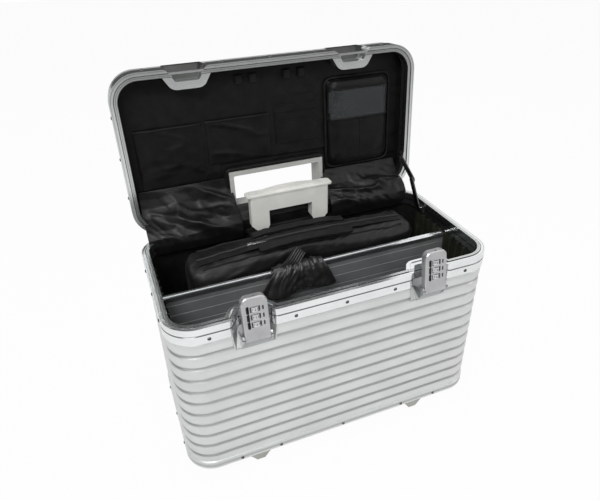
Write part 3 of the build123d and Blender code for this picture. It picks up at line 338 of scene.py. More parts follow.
# %% Woven cloth
def woven(name, low, high, rough, thread, crease, turn=(0, 0, 0), specular=0.18):
    finish = Finish(name, Specular_IOR_Level=specular, Sheen_Weight=0.02, Sheen_Roughness=0.45)
    place = finish.place((1, 1, 1), turn)
    waves = []
    for axis in ("X", "Y", "Z"):
        along = finish.node("SeparateXYZ", inputs={0: place}, output=axis)
        waves.append((along * (2 * math.pi / thread)).math("SINE"))
    weave = (waves[0] * waves[1] + waves[1] * waves[2] + waves[0] * waves[2]) * 0.25 + 0.5
    folds = finish.noise((9, 26, 16), turn, 3.0, 0.5)
    small = finish.noise((60, 60, 60), turn, 4.0, 0.6)
    lint = finish.ramp(finish.noise((500, 500, 500), turn, 2.0), 0.66, 0.76)
    shade = finish.tint(finish.ramp(small, 0.3, 0.7), low, high)
    shade = finish.tint(lint * 0.25, shade, tuple(3 * c for c in high))
    height = folds * (crease / 0.0004) + small * (0.25 * crease / 0.0004) + weave * 0.35
    return finish.dress(shade, finish.ramp(small, 0.2, 0.8) * 0.12 + rough, height, 0.0004, 0.8)


CLOSED_TURN = (-OPEN_ANGLE, 0, 0)
lining_cloth = woven("lining_cloth", (0.004, 0.004, 0.004), (0.011, 0.011, 0.010), 0.46, 0.0016, 0.0012)
lid_cloth = woven("lid_cloth", (0.0035, 0.004, 0.0035), (0.009, 0.009, 0.0085), 0.34, 0.0016, 0.0016, CLOSED_TURN)
nylon = woven("nylon", (0.0035, 0.0035, 0.004), (0.009, 0.009, 0.0095), 0.32, 0.0014, 0.0010, specular=0.30)
# The strap is the bag's nylon in a copy painted about three times lighter; the lift is painted sheen for the gloss
# on its folds.
strap_nylon_painted_sheen = woven("strap_nylon_painted_sheen", (0.012, 0.012, 0.012), (0.026, 0.026, 0.025), 0.30, 0.0014, 0.0010,
                    specular=0.55)
webbing = woven("webbing", (0.005, 0.005, 0.005), (0.014, 0.014, 0.014), 0.52, 0.0024, 0.0003)
print("cloth:", lining_cloth.name, lid_cloth.name, nylon.name, webbing.name)

# %% Clear sheet
clear = Finish("clear_sheet", Alpha=0.20, IOR=1.45, Specular_IOR_Level=0.5)
haze = clear.noise((24, 24, 24), detail=0.5)
clear_sheet = clear.dress((0.10, 0.11, 0.115, 1), clear.ramp(haze, 0.3, 0.7) * 0.08 + 0.05, haze, 0.003, 0.9)
print("clear sheet ready")

# %% [markdown]
# ### Put the finishes on the solids
# Each node of the model keeps its shape and takes a finish in its own material slots. Anything
# on the lid uses the version that is turned with the lid.

# %% Dress the solids
dress = {
    sheet_body: ["body_shell", "body_base"],
    sheet_lid: ["lid_shell"],
    frame_metal: ["body_frame"],
    lid_frame_shaded_metal: ["lid_frame"],
    tube_metal: ["handle_outer_tubes", "handle_mid_tubes", "handle_inner_tubes", "lid_keepers"],
    dark_steel: ["stay_upper_link", "stay_lower_link"],
    rivet_metal: ["body_rivets", "lid_rivets"],
    steel: ["hinge_body_leaf", "hinge_lid_leaf", "hinge_pin", "stay_body_bracket", "stay_lid_bracket",
            "wheel_axles", "dial_shaft_left", "dial_shaft_right", "latch_brackets"],
    foot_plastic: ["front_feet"],
    well_metal: ["body_wells"],
    lid_well_painted_shade: ["lid_wells"],
    grey_plastic: ["wheel_housings", "opening_frame"],
    grip_plastic: ["pull_grip", "grip_button"],
    latch_paint: ["latch_plate_left", "latch_plate_right"],
    lining_cloth: ["body_lining", "lid_lining"],
    lid_cloth: ["organiser_panel", "opening_surround"],
    rack_plastic: ["end_racks"],
    black_plastic: ["handle_base", "handle_collar", "carry_handle", "carry_handle_mounts", "wheel_hub_left",
                    "wheel_hub_right"],
    divider_metal: ["divider_panel"],
    bright_trim: ["divider_rail"],
    nylon: ["lid_pockets", "card_pocket", "padded_pouch", "pen_loops", "notebook_sleeve", "sleeve_strap"],
    clear_sheet: ["pouch_window"],
    tyre_rubber: ["wheel_tyre_left", "wheel_tyre_right"],
    dial_metal: [f"dial_{side}_{number}" for side in ("left", "right") for number in (1, 2, 3)],
}
for material, nodes in dress.items():
    for node in nodes:
        solid = bpy.data.objects[node]
        if not solid.material_slots:
            solid.data.materials.append(material)
        for slot in solid.material_slots:
            slot.material = material
print(sum(len(nodes) for nodes in dress.values()), "nodes dressed")

# %% [markdown]
# ## Helpers for new pieces
# New pieces are drawn in the closed case's own millimetres: x from its middle, y from its middle
# with the hinge side positive, z from the floor. A piece on the lid is drawn with the lid shut,
# then turned open with it.

# %% Places and modifiers
LID_OPEN = (Matrix.Translation(HINGE) @ Matrix.Rotation(-OPEN_ANGLE, 4, "X") @ Matrix.Translation(-HINGE))
TO_ROW = Matrix.Translation((0, SHIFT, 0)) @ Matrix.Scale(MM, 4)


def deselect():
    bpy.ops.object.select_all(action="DESELECT")


def pick(piece):
    deselect()
    piece.select_set(True)
    bpy.context.view_layer.objects.active = piece


def modify(piece, kind, **settings):
    """Adds a modifier, sets it and applies it."""
    pick(piece)
    modifier = piece.modifiers.new(kind.lower(), kind)
    for key, value in settings.items():
        setattr(modifier, key, value)
    bpy.ops.object.modifier_apply(modifier=modifier.name)


def settle(piece, name, body, slot, material, on_lid=False, smooth=40, to_row=True):
    """Moves a piece drawn in millimetres to its place, and names, paints and mounts it."""
    place = (LID_OPEN if on_lid else Matrix.Identity(4)) @ (TO_ROW if to_row else Matrix.Identity(4))
    piece.data.transform(place @ piece.matrix_world)
    piece.matrix_world = Matrix.Identity(4)
    piece.name = name
    piece.data.name = name
    piece.data.materials.clear()
    piece.data.materials.append(material)
    pick(piece)
    if smooth:
        bpy.ops.object.shade_smooth_by_angle(angle=math.radians(smooth))
    if body:
        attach(piece, body)
    return piece


def grid(columns, rows, place):
    """A grid whose points go where place(u, v) says, with u and v from 0 to 1."""
    deselect()
    bpy.ops.mesh.primitive_grid_add(x_subdivisions=columns, y_subdivisions=rows, size=1)
    piece = bpy.context.object
    for vertex in piece.data.vertices:
        vertex.co = place(vertex.co.x + 0.5, vertex.co.y + 0.5)
    return piece


def cube(low, high):
    """A cube between two corners."""
    deselect()
    middle = [(a + b) / 2 for a, b in zip(low, high)]
    bpy.ops.mesh.primitive_cube_add(size=1, location=middle)
    piece = bpy.context.object
    piece.scale = [b - a for a, b in zip(low, high)]
    bpy.ops.object.transform_apply(location=True, rotation=True, scale=True)
    return piece


def join(pieces):
    deselect()
    for piece in pieces:
        piece.select_set(True)
    bpy.context.view_layer.objects.active = pieces[0]
    bpy.ops.object.join()
    return pieces[0]


def tube(points, radius, closed=False, sides=6):
    """A round bar along a smooth line, as a mesh."""
    curve = bpy.data.curves.new("line", "CURVE")
    curve.dimensions = "3D"
    curve.bevel_depth = radius
    curve.bevel_resolution = sides // 2 - 1
    curve.use_fill_caps = not closed
    spline = curve.splines.new("NURBS")
    spline.points.add(len(points) - 1)
    for point, spot in zip(spline.points, points):
        point.co = (*spot, 1)
    spline.order_u = 3
    spline.use_endpoint_u = not closed
    spline.use_cyclic_u = closed
    line = bpy.data.objects.new("line", curve)
    bpy.context.scene.collection.objects.link(line)
    pick(line)
    bpy.ops.object.convert(target="MESH")
    return bpy.context.object


print("helpers ready")

# %% Fold and swell
def fold_lines(seed, size, stretch=1.0, heading=0.0):
    """A height from 0 to 1: creases about a size apart and stretch times as long, along a heading."""
    start = Vector((7.3 * seed, 3.1 * seed, 1.7 * seed))

    def height(a, b):
        along = a * math.cos(heading) + b * math.sin(heading)
        across = b * math.cos(heading) - a * math.sin(heading)
        spot = Vector((along / (size * stretch), across / size, 0)) + start
        spot += 0.5 * noise.noise_vector(0.7 * spot)
        return max(0.0, 1 - 2.2 * abs(noise.noise(spot))) ** 1.4

    return height


def swell(piece, voxel, pressure, cap):
    """Remeshes a form and lets cloth under pressure round it, no point moving further than cap."""
    modify(piece, "REMESH", mode="VOXEL", voxel_size=voxel)
    scene = bpy.context.scene
    start = [vertex.co.copy() for vertex in piece.data.vertices]
    cloth = piece.modifiers.new("cloth", "CLOTH")
    cloth.settings.use_pressure = True
    cloth.settings.uniform_pressure_force = pressure
    cloth.settings.effector_weights.gravity = 0
    cloth.point_cache.frame_start = 1
    cloth.point_cache.frame_end = 20
    for number in range(1, 21):
        scene.frame_set(number)
    shaped = piece.evaluated_get(bpy.context.evaluated_depsgraph_get()).to_mesh()
    moved = [vertex.co.copy() for vertex in shaped.vertices]
    piece.modifiers.remove(cloth)
    scene.frame_set(1)
    for vertex, before, after in zip(piece.data.vertices, start, moved):
        step = after - before
        vertex.co = before + step * min(1, cap / max(step.length, 1e-9))


def measure(piece):
    spots = [vertex.co for vertex in piece.data.vertices]
    return [round((max(s[i] for s in spots) - min(s[i] for s in spots)) * 1000) for i in range(3)]


print("folds and swelling ready")

# %% [markdown]
# ## The lift-out bag
# A computer bag fills the space behind the divider. Only its crowned top shows, so the folds,
# the zip and the piping go there. It is a stuffed form, so it is swollen by cloth simulation from
# a slightly smaller block, and the folds are pushed in afterwards.

# %% The bag's form
BAG_LOW = (-186, 8, 26)
BAG_HIGH = (186, 69, 291)
bag = cube([c * MM for c in BAG_LOW], [c * MM for c in BAG_HIGH])
modify(bag, "BEVEL", width=0.014, segments=3)
swell(bag, 0.007, 4.0, 0.0045)
modify(bag, "SUBSURF", levels=1, render_levels=1)
bag_folds = fold_lines(4, 0.055, 2.5)
bag_ruffle = fold_lines(9, 0.020, 2.0, 0.6)
for vertex in bag.data.vertices:
    x, y, z = vertex.co
    crown = 1 - (x / 0.188) ** 2
    lift = max(0, (z - 0.16) / 0.13)
    vertex.co.z += lift * (0.012 * crown - 0.010)
    vertex.co.z += lift * (0.0045 * bag_folds(x, y + z) + 0.0016 * bag_ruffle(x, y + z) - 0.005)
    pull = lift * (0.0035 * bag_folds(x, y + z) + 0.0012 * bag_ruffle(x, y + z) - 0.002)
    vertex.co.y += pull if y > 0.04 else -pull
settle(bag, "computer_bag", "bag", "padded_fabric", nylon, smooth=180, to_row=False)
bag.data.transform(Matrix.Translation((0, SHIFT, 0)))
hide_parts("notebook_sleeve")
print("bag", measure(bag), "mm")


# %% [markdown]
# ## Lay trim on a soft form
# Zips and piping have to follow the lumps of the cloth under them. Each one is a line of points
# dropped straight onto the surface with a ray, so it never floats or sinks.

# %% Drop points on a surface
def drop(piece, x, y, start, direction, lift):
    """The point of a piece's surface under a start height, lifted off it a little."""
    hit, spot, normal, index = piece.ray_cast(Vector((x, y, start)), Vector((0, 0, direction)))
    return (spot if hit else Vector((x, y, start))) - Vector((0, 0, direction)) * lift


def ribbon(points, width, thickness, across):
    """A flat strip along points."""
    half = Vector(across) * (width / 2)
    rows = len(points) - 1

    def place(u, v):
        spot = points[min(rows, round(u * rows))]
        return spot + half * (2 * v - 1)

    strip = grid(rows, 2, place)
    modify(strip, "SOLIDIFY", thickness=thickness, offset=0)
    modify(strip, "BEVEL", width=thickness * 0.3, segments=1)
    return strip


zip_y = 0.0385 + SHIFT
zip_points = [drop(bag, -0.165 + 0.33 * k / 66, zip_y, 0.4, -1, 0.0004) for k in range(67)]
zip_tape = ribbon(zip_points, 0.024, 0.0008, (0, 1, 0))
settle(zip_tape, "bag_zip_tape", "bag", "padded_fabric", webbing, to_row=False)
teeth = tube([p + Vector((0, 0, 0.0011)) for p in zip_points], 0.0021)
settle(teeth, "bag_zip_teeth", "bag", "black_plastic", black_plastic, to_row=False)
for number, (offset, name) in enumerate(((0.021, "front"), (-0.024, "back"))):
    line = [drop(bag, -0.16 + 0.32 * k / 60, zip_y - offset, 0.4, -1, 0.0) for k in range(61)]
    settle(tube(line, 0.0019), f"bag_piping_{name}", "bag", "padded_fabric", webbing, to_row=False)
pull_spot = zip_points[16]
zip_pull = cube(pull_spot - Vector((0.004, 0.003, 0)), pull_spot + Vector((0.004, 0.003, 0.004)))
modify(zip_pull, "BEVEL", width=0.0012, segments=2)
pull_tab = cube(pull_spot + Vector((0.003, -0.0025, 0.002)), pull_spot + Vector((0.026, 0.0025, 0.0034)))
modify(pull_tab, "BEVEL", width=0.0006, segments=2)
settle(join([zip_pull, pull_tab]), "bag_zip_pull", "bag", "steel", steel, to_row=False)
print("zip", len(zip_points), "points long")

# %% Carrying loops of the bag
for sign, name in ((-1, "front"), (1, "back")):
    loop = []
    for k in range(33):
        turn = math.pi * k / 32
        x = -0.075 * math.cos(turn)
        y = zip_y + sign * (0.016 + 0.007 * math.sin(turn))
        base = drop(bag, x, y, 0.4, -1, 0.0035)
        loop.append(base + Vector((0, 0, 0.002 + 0.004 * math.sin(turn) ** 2)))
    handle = ribbon(loop, 0.012, 0.0035, (0, 1, 0.1))
    settle(handle, f"bag_loop_{name}", "bag", "padded_fabric", webbing, to_row=False)
print("two carrying loops")

# %% [markdown]
# ## The padded strap on the divider
# A padded strap from the bag hangs over the divider's top rail. Its middle is gathered, and a
# ribbed tab sits on it.

# %% Strap over the rail
STRAP = [(-21.0, 234.0), (-20.6, 243), (-20.0, 252), (-18.6, 260), (-16.0, 265.0), (-11.5, 267.6),
         (-6.0, 267.4), (-2.4, 265.4), (-0.8, 261.8), (-0.6, 258.2)]
RAIL_SHARE = 0.45
strap_pleats = fold_lines(21, 0.13, 9.0, math.pi / 2)
strap_creases = fold_lines(23, 9, 2.2, 0.9)


def strap_spot(u, v):
    index = min(len(STRAP) - 2, int(v * (len(STRAP) - 1)))
    share = v * (len(STRAP) - 1) - index
    y = STRAP[index][0] * (1 - share) + STRAP[index + 1][0] * share
    z = STRAP[index][1] * (1 - share) + STRAP[index + 1][1] * share
    gather = min(1, v / RAIL_SHARE)
    x = (-92 + 26 * gather) + (122 - 44 * gather) * u
    pleat = strap_pleats(u, v) + 0.35 * strap_creases(x, z)
    middle = min(1, 6 * min(u, 1 - u))
    front = 1 - gather
    sag = 9 * front * (0.5 - 0.5 * math.cos(2 * math.pi * (1.6 * u + 0.1)))
    return Vector((x, y - (1.0 + 6.0 * pleat * middle) * (0.35 + 0.65 * front) * (v < 0.7),
                   z - sag + 4.0 * pleat * middle * gather * (v < 0.85)))


strap = grid(90, 36, strap_spot)
modify(strap, "SOLIDIFY", thickness=2.2, offset=0)
modify(strap, "SUBSURF", levels=1, render_levels=1)
settle(strap, "padded_strap", "divider", "padded_fabric", strap_nylon_painted_sheen, smooth=180)
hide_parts("sleeve_strap")
print("strap", measure(strap), "mm")

# %% Ribbed tab on the strap
TAB_FOOT = Vector((-50, -12.5, 262))
TAB_TIP = Vector((-22, -9.5, 291))
TAB_ACROSS = Vector((-0.70, 0.05, 0.66))


def tab_spot(u, v):
    rib = 0.45 * math.cos(2 * math.pi * 5 * v)
    curl = 3.0 * math.sin(math.pi * u) ** 2
    return TAB_FOOT.lerp(TAB_TIP, u) + TAB_ACROSS * 21 * (v - 0.5) + Vector((0, -rib - curl, 0))


tab = grid(24, 50, tab_spot)
modify(tab, "SOLIDIFY", thickness=2.0, offset=0)
settle(tab, "strap_tab", "divider", "padded_fabric", strap_nylon_painted_sheen, smooth=60)
print("tab", measure(tab), "mm")

# %% [markdown]
# ## Pouch, window and pockets in the lid
# The pouch on the right is a stuffed block of foam under cloth. Its clear window is laid on the
# swollen surface with rays, and piping closes its edge.

# %% Pouch
PANEL = 285 + 31
POUCH = ((92, -73), (204, 69))
pouch = cube([c * MM for c in (POUCH[0][0], POUCH[0][1], PANEL - 10)],
             [c * MM for c in (POUCH[1][0], POUCH[1][1], PANEL)])
deselect()
pick(pouch)
bpy.ops.object.mode_set(mode="EDIT")
bpy.ops.mesh.select_all(action="DESELECT")
bpy.ops.object.mode_set(mode="OBJECT")
for edge in pouch.data.edges:
    a, b = (pouch.data.vertices[i].co for i in edge.vertices)
    edge.select = abs(a.z - b.z) > 0.001
bpy.ops.object.mode_set(mode="EDIT")
bpy.ops.mesh.bevel(offset=0.010, segments=5)
bpy.ops.object.mode_set(mode="OBJECT")
modify(pouch, "BEVEL", width=0.003, segments=2)
swell(pouch, 0.004, 4.0, 0.0040)
modify(pouch, "SUBSURF", levels=1, render_levels=1)
pouch_folds = fold_lines(33, 0.05, 3.0)
for vertex in pouch.data.vertices:
    vertex.co.z = min(vertex.co.z, PANEL * MM)
    depth = max(0, (PANEL * MM - vertex.co.z) / 0.012)
    vertex.co.z += depth * (0.0016 - 0.0016 * pouch_folds(vertex.co.x, vertex.co.y))
pouch_face = pouch.copy()
pouch_face.data = pouch.data.copy()
bpy.context.scene.collection.objects.link(pouch_face)
print("pouch", measure(pouch), "mm")

# %% Window and piping
def outline(x0, x1, y0, y1, radius, step=6):
    """Points round a rectangle with rounded corners."""
    points = []
    for cx, cy, first in ((x1 - radius, y1 - radius, 0), (x0 + radius, y1 - radius, 90),
                          (x0 + radius, y0 + radius, 180), (x1 - radius, y0 + radius, 270)):
        for k in range(step + 1):
            angle = math.radians(first + 90 * k / step)
            points.append((cx + radius * math.cos(angle), cy + radius * math.sin(angle)))
    dense = []
    for here, after in zip(points, points[1:] + points[:1]):
        parts = max(1, int(math.dist(here, after) / 0.006))
        dense += [(here[0] + (after[0] - here[0]) * k / parts, here[1] + (after[1] - here[1]) * k / parts)
                  for k in range(parts)]
    return dense


def under(piece, x, y, lift):
    """The lid's pieces face down while the lid is shut, so the ray comes from below."""
    spot = drop(piece, x, y, 0.25, 1, lift)
    if spot.z < 0.29:
        spot.z = PANEL * MM - lift
    return spot


WINDOW = [c * MM for c in (95, 202, 118 - 178, 118 - 128)]
window = grid(30, 20, lambda u, v: under(pouch_face, WINDOW[0] + (WINDOW[1] - WINDOW[0]) * u,
                                         WINDOW[2] + (WINDOW[3] - WINDOW[2]) * v, 0.0012))
modify(window, "SOLIDIFY", thickness=0.0006, offset=0)
rim_line = [under(pouch_face, x, y, 0.0010) for x, y in outline(*WINDOW, 0.006)]
window_edge = tube(rim_line, 0.0016, closed=True)
piping = tube([Vector((x, y, PANEL * MM - 0.0035)) for x, y in
               outline(*[c * MM for c in (90, 206, -75, 71)], 0.012)], 0.0018, closed=True)
FLAP_EDGE = -58.5 * MM
flap = grid(30, 8, lambda u, v: under(pouch_face, (93 + 110 * u) * MM, -72 * MM + (FLAP_EDGE + 72 * MM) * v,
                                      0.0022 - 0.0008 * abs(2 * u - 1)))
modify(flap, "SOLIDIFY", thickness=0.0016, offset=0)
modify(flap, "SUBSURF", levels=1, render_levels=1)
flap_hem = tube([under(pouch_face, (94 + 108 * k / 24) * MM, FLAP_EDGE, 0.0028) for k in range(25)], 0.0009)
seam = tube([under(pouch_face, 0.1485, (-8 + 74 * k / 20) * MM, 0.0002) for k in range(21)], 0.0008)
row_shift = Matrix.Translation((0, SHIFT, 0))
for piece, name, slot, material in ((flap, "pouch_flap", "padded_fabric", lid_cloth),
                                    (flap_hem, "pouch_flap_hem", "padded_fabric", webbing),
                                    (seam, "pouch_seam", "padded_fabric", webbing),
                                    (pouch, "lid_pouch", "padded_fabric", lid_cloth),
                                    (window, "pouch_clear_window", "clear_sheet", clear_sheet),
                                    (window_edge, "pouch_window_binding", "padded_fabric", webbing),
                                    (piping, "pouch_piping", "padded_fabric", webbing)):
    piece.data.transform(row_shift @ piece.matrix_world)
    piece.matrix_world = Matrix.Identity(4)
    settle(piece, name, "lid", slot, material, on_lid=True, smooth=60, to_row=False)
bpy.data.objects.remove(pouch_face)
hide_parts("padded_pouch")
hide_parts("pouch_window")
print("window laid on the pouch")

# %% [markdown]
# ### Flat pockets
# Each pocket is one piece of cloth, sewn down on three sides and gathered by the hem on the
# fourth. The hem is a rolled strip of webbing, and the stitches are small raised dashes.

# %% Cloth pockets with hems
def pocket(x0, x1, near, far, bulge, seed):
    """A pocket between two distances from the hinge side, open towards the lid's far edge."""
    folds = fold_lines(seed, 30, 2.5, 0.2)

    def place(u, v):
        x = x0 + (x1 - x0) * u
        y = 118 - near - (far - near) * v
        side = min(1, 5 * min(u, 1 - u))
        foot = min(1, 4 * v)
        out = 2.0 + bulge * side ** 0.5 * foot ** 0.5 * (0.55 + 0.75 * folds(x, 1.4 * y))
        return Vector((x, y, PANEL - out))

    cloth = grid(44, 34, place)
    modify(cloth, "SOLIDIFY", thickness=0.7, offset=0)
    modify(cloth, "SUBSURF", levels=1, render_levels=1)
    edge = [place(k / 24, 1.0) + Vector((0, -0.5, -0.4)) for k in range(25)]
    hem = tube(edge, 1.7)
    return cloth, hem


def stitches(points, length=1.9, gap=1.5, radius=0.28):
    """Raised dashes along a line of points."""
    dashes = []
    for here, after in zip(points, points[1:]):
        span = (after - here).length
        heading = (after - here).normalized()
        for k in range(max(1, int(span / (length + gap)))):
            middle = here + heading * ((k + 0.5) * (length + gap))
            deselect()
            bpy.ops.mesh.primitive_cylinder_add(vertices=5, radius=radius, depth=length, location=middle,
                                                rotation=heading.to_track_quat("Z", "Y").to_euler())
            dashes.append(bpy.context.object)
    return join(dashes)


skin_folds = fold_lines(61, 55, 2.5, 0.15)
skin_creases = fold_lines(62, 18, 2.0, 1.2)


def lid_skin_spot(u, v):
    x = -226 + 452 * u
    y = 66 - 170 * v
    edge = min(1, 9 * min(u, 1 - u), 9 * min(v, 1 - v))
    rise = 1.3 * skin_folds(x, y) + 0.4 * skin_creases(x, y)
    return Vector((x, y, PANEL - 0.15 - edge * rise))


skin = grid(150, 64, lid_skin_spot)
pick(skin)
bpy.ops.object.mode_set(mode="EDIT")
bpy.ops.mesh.select_all(action="DESELECT")
bpy.ops.object.mode_set(mode="OBJECT")
for face in skin.data.polygons:
    face.select = abs(face.center.x) < 90 and face.center.y > 36
bpy.ops.object.mode_set(mode="EDIT")
bpy.ops.mesh.delete(type="FACE")
bpy.ops.object.mode_set(mode="OBJECT")
modify(skin, "SOLIDIFY", thickness=0.12, offset=0)
settle(skin, "lid_creased_cloth", "lid", "padded_fabric", lid_cloth, True, 180)
print("creased cloth", measure(skin), "mm")

pockets = []
hems = []
sewing = []
for x0, x1, near, far, bulge, seed in ((-213, -113, 60, 150, 3.0, 41), (-106, -5, 84, 151, 3.4, 42)):
    cloth, hem = pocket(x0, x1, near, far, bulge, seed)
    pockets.append(cloth)
    hems.append(hem)
    low, high = 118 - far, 118 - near
    corners = [Vector((x0 + 2, low, PANEL - 1.6)), Vector((x0 + 2, high - 2, PANEL - 1.6)),
               Vector((x1 - 2, high - 2, PANEL - 1.6)), Vector((x1 - 2, low, PANEL - 1.6))]
    sewing.append(stitches(corners))
lid_pocket_cloth = settle(join(pockets), "lid_cloth_pockets", "lid", "padded_fabric", lid_cloth, True, 180)
settle(join(hems), "lid_pocket_hems", "lid", "padded_fabric", webbing, True)
settle(join(sewing), "lid_pocket_stitches", "lid", "padded_fabric", webbing, True)
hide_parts("lid_pockets")
print("two pockets", measure(lid_pocket_cloth), "mm")

# %% Card pocket and pen loops
flaps = []
for step in range(4):
    top = 118 - 176 + 13 * step
    flap = cube((5, top, PANEL - 1.0 - 0.6 * step), (75, 118 - 101, PANEL - 0.5 - 0.6 * step))
    modify(flap, "BEVEL", width=0.2, segments=1)
    flaps.append(flap)
    flaps.append(tube([Vector((5 + 70 * k / 8, top + 0.5, PANEL - 1.0 - 0.6 * step)) for k in range(9)], 0.8))
card = settle(join(flaps), "card_holder", "lid", "padded_fabric", lid_cloth, True)
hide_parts("card_pocket")
loops = []
for centre in (-48, -26, 28, 52):
    arch = grid(14, 4, lambda u, v, c=centre: Vector((c - 6 * math.cos(math.pi * u),
                                                      -96 + 12 * v,
                                                      PANEL - 0.4 - 5.2 * math.sin(math.pi * u) ** 0.7)))
    modify(arch, "SOLIDIFY", thickness=0.9, offset=0)
    loops.append(arch)
pens = settle(join(loops), "elastic_pen_loops", "lid", "padded_fabric", webbing, True)
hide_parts("pen_loops")
print("card holder and pen loops")

# %% [markdown]
# ## The padded collar round the opening
# The opening for the pull-out handle has a soft collar. It is remeshed and smoothed from a copy of its solid.

# %% Collar
collar = bpy.data.objects["opening_surround"].copy()
collar.data = collar.data.copy()
bpy.context.scene.collection.objects.link(collar)
pick(collar)
bpy.ops.object.mode_set(mode="EDIT")
bpy.ops.mesh.select_all(action="SELECT")
bpy.ops.mesh.remove_doubles(threshold=0.00001)
bpy.ops.object.mode_set(mode="OBJECT")
modify(collar, "REMESH", mode="VOXEL", voxel_size=0.0022)
modify(collar, "SMOOTH", factor=0.5, iterations=8)
settle(collar, "padded_collar", "lid", "padded_fabric", lid_cloth, smooth=180, to_row=False)
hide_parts("opening_surround")
print("collar", measure(collar), "mm")

# %% [markdown]
# ## The loose cloth behind the bag
# Thin cloth closes the gap between the organiser in the lid and the rear wall, on both sides of
# the handle's opening. It hangs slack over the hinge while the lid is open, so it is drawn as a
# grid along a sagging line, with folds that fan out.

# %% Slack cloth over the hinge
SIDE_LINE = [(154, 347), (151, 335), (145, 321), (135, 311), (121, 305), (109, 300), (101, 290),
             (99, 277), (103.5, 262)]
RIGHT_LINE = [(153, 331)] + SIDE_LINE[2:]
MIDDLE_LINE = [(147, 299.6), (143, 301.2), (137, 302.4), (129, 302.4), (121, 300.8), (113, 296.5),
               (108.2, 290), (107, 282), (107.2, 274)]


def along_line(line, v):
    index = min(len(line) - 2, int(v * (len(line) - 1)))
    share = v * (len(line) - 1) - index
    return [a * (1 - share) + b * share for a, b in zip(line[index], line[index + 1])]


def line_length(line):
    return sum(math.dist(a, b) for a, b in zip(line, line[1:]))


def slack_cloth(x0, x1, line, slackness, seed, name):
    """Cloth between the lid and the rear wall, with folds of the given depth in millimetres."""
    folds = fold_lines(seed, 34, 3.2, 0.25)
    creases = fold_lines(seed + 20, 15, 2.4, 0.9)

    def place(u, v):
        y, z = along_line(line, v)
        x = x0 + (x1 - x0) * u
        slack = slackness * math.sin(math.pi * v) ** 0.7 * min(1, 6 * min(u, 1 - u) + 0.1)
        down = v * line_length(line)
        fold = folds(x, down) - 0.35 + 0.22 * creases(x, down)
        return Vector((x, y - slack * fold, z + 1.3 * slack * fold))

    columns = int((x1 - x0) / 2)
    cloth = grid(columns, 60, place)
    modify(cloth, "SMOOTH", factor=0.5, iterations=2)
    flat_size = ((x1 - x0) * MM, line_length(line) * 1.12 * MM)
    modify(cloth, "SOLIDIFY", thickness=0.7, offset=0)
    modify(cloth, "SUBSURF", levels=1, render_levels=1)
    settle(cloth, name, None, "padded_fabric", nylon, smooth=180)
    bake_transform(cloth)
    return cloth


for x0, x1, line, slackness, seed, name in ((-223, -76, SIDE_LINE, 7, 51, "hinge_cloth_left"),
                                            (-82, 82, MIDDLE_LINE, 1.2, 53, "hinge_cloth_middle"),
                                            (76, 219, RIGHT_LINE, 6.5, 52, "hinge_cloth_right")):
    print(name, measure(slack_cloth(x0, x1, line, slackness, seed, name)), "mm")

# %% [markdown]
# ## Dials and latches
# Each number wheel carries the digits 0 to 9, set between its finger notches. One digit is made
# from text, turned into a mesh and moved round the wheel, and the ten are joined.

# %% Digits on the number wheels
LEAN = Matrix.Rotation(math.radians(-9), 4, "X")
DIAL_RADIUS = 5.3
DIAL_FORWARD = 1.7
DIAL_HEIGHTS = (20.5, 31.0, 41.5)
dial_ink = grained("dial_ink", (0.008, 0.008, 0.008), (0.016, 0.016, 0.016), 0.4, 0.001, 0.00001)


def digit_ring(turned):
    """Ten digits round an upright wheel of the dial's radius, in millimetres."""
    digits = []
    for number in range(10):
        deselect()
        bpy.ops.object.text_add()
        text = bpy.context.object
        text.data.body = str(number)
        text.data.size = 4.4
        text.data.extrude = 0.05
        text.data.align_x = "CENTER"
        text.data.align_y = "CENTER"
        text.data.resolution_u = 3
        bpy.ops.object.convert(target="MESH")
        digit = bpy.context.object
        around = Matrix.Rotation(math.radians(36 * (number + turned)), 4, "Z")
        digit.data.transform(around @ Matrix.Translation((0, -DIAL_RADIUS - 0.05, 0))
                             @ Matrix.Rotation(math.radians(90), 4, "X"))
        digits.append(digit)
    return join(digits)


for side, name in ((-1, "left"), (1, "right")):
    pivot = Vector(joints[f"latch_{name}_hinge"]["pos_m"]) / MM - Vector((0, SHIFT / MM, 0))
    upright = Matrix.Translation(pivot) @ LEAN
    for number, height in enumerate(DIAL_HEIGHTS, 1):
        ring = digit_ring(3 * number + side)
        ring.data.transform(upright @ Matrix.Translation((0, -DIAL_FORWARD, height)))
        settle(ring, f"digits_{name}_{number}", f"number_dial_{name}_{number}", "dial_plastic", dial_ink, smooth=0)
    # Painted shade: black blocks on each latch plate stand for the shade inside the slots beside the dials.
    trim = []
    for height in DIAL_HEIGHTS:
        for x, wide, tall in ((-9.6, 3.8, 9.0), (-9.2, 1.8, 10.6), (10.0, 2.0, 5.6)):
            mark = cube((x - wide / 2, -5.12, height - tall / 2), (x + wide / 2, -4.6, height + tall / 2))
            modify(mark, "BEVEL", width=0.12, segments=2)
            trim.append(mark)
    marks = join(trim)
    marks.data.transform(upright)
    settle(marks, f"latch_slot_shade_{name}", f"latch_{name}", "black_plastic", black_plastic)
    print(name, "latch has", len(trim), "slots")

# %% [markdown]
# ## Stage and light
# A studio for bright metal needs something dark to mirror, or every edge goes flat. The camera sees
# a white floor and surround. Mirrored rays see the same white, apart from a dark band above the
# horizon and a dark stretch of floor in front, and these draw the dark lines along rims and grooves.
# A faint part of the object's shadow stays on the floor.

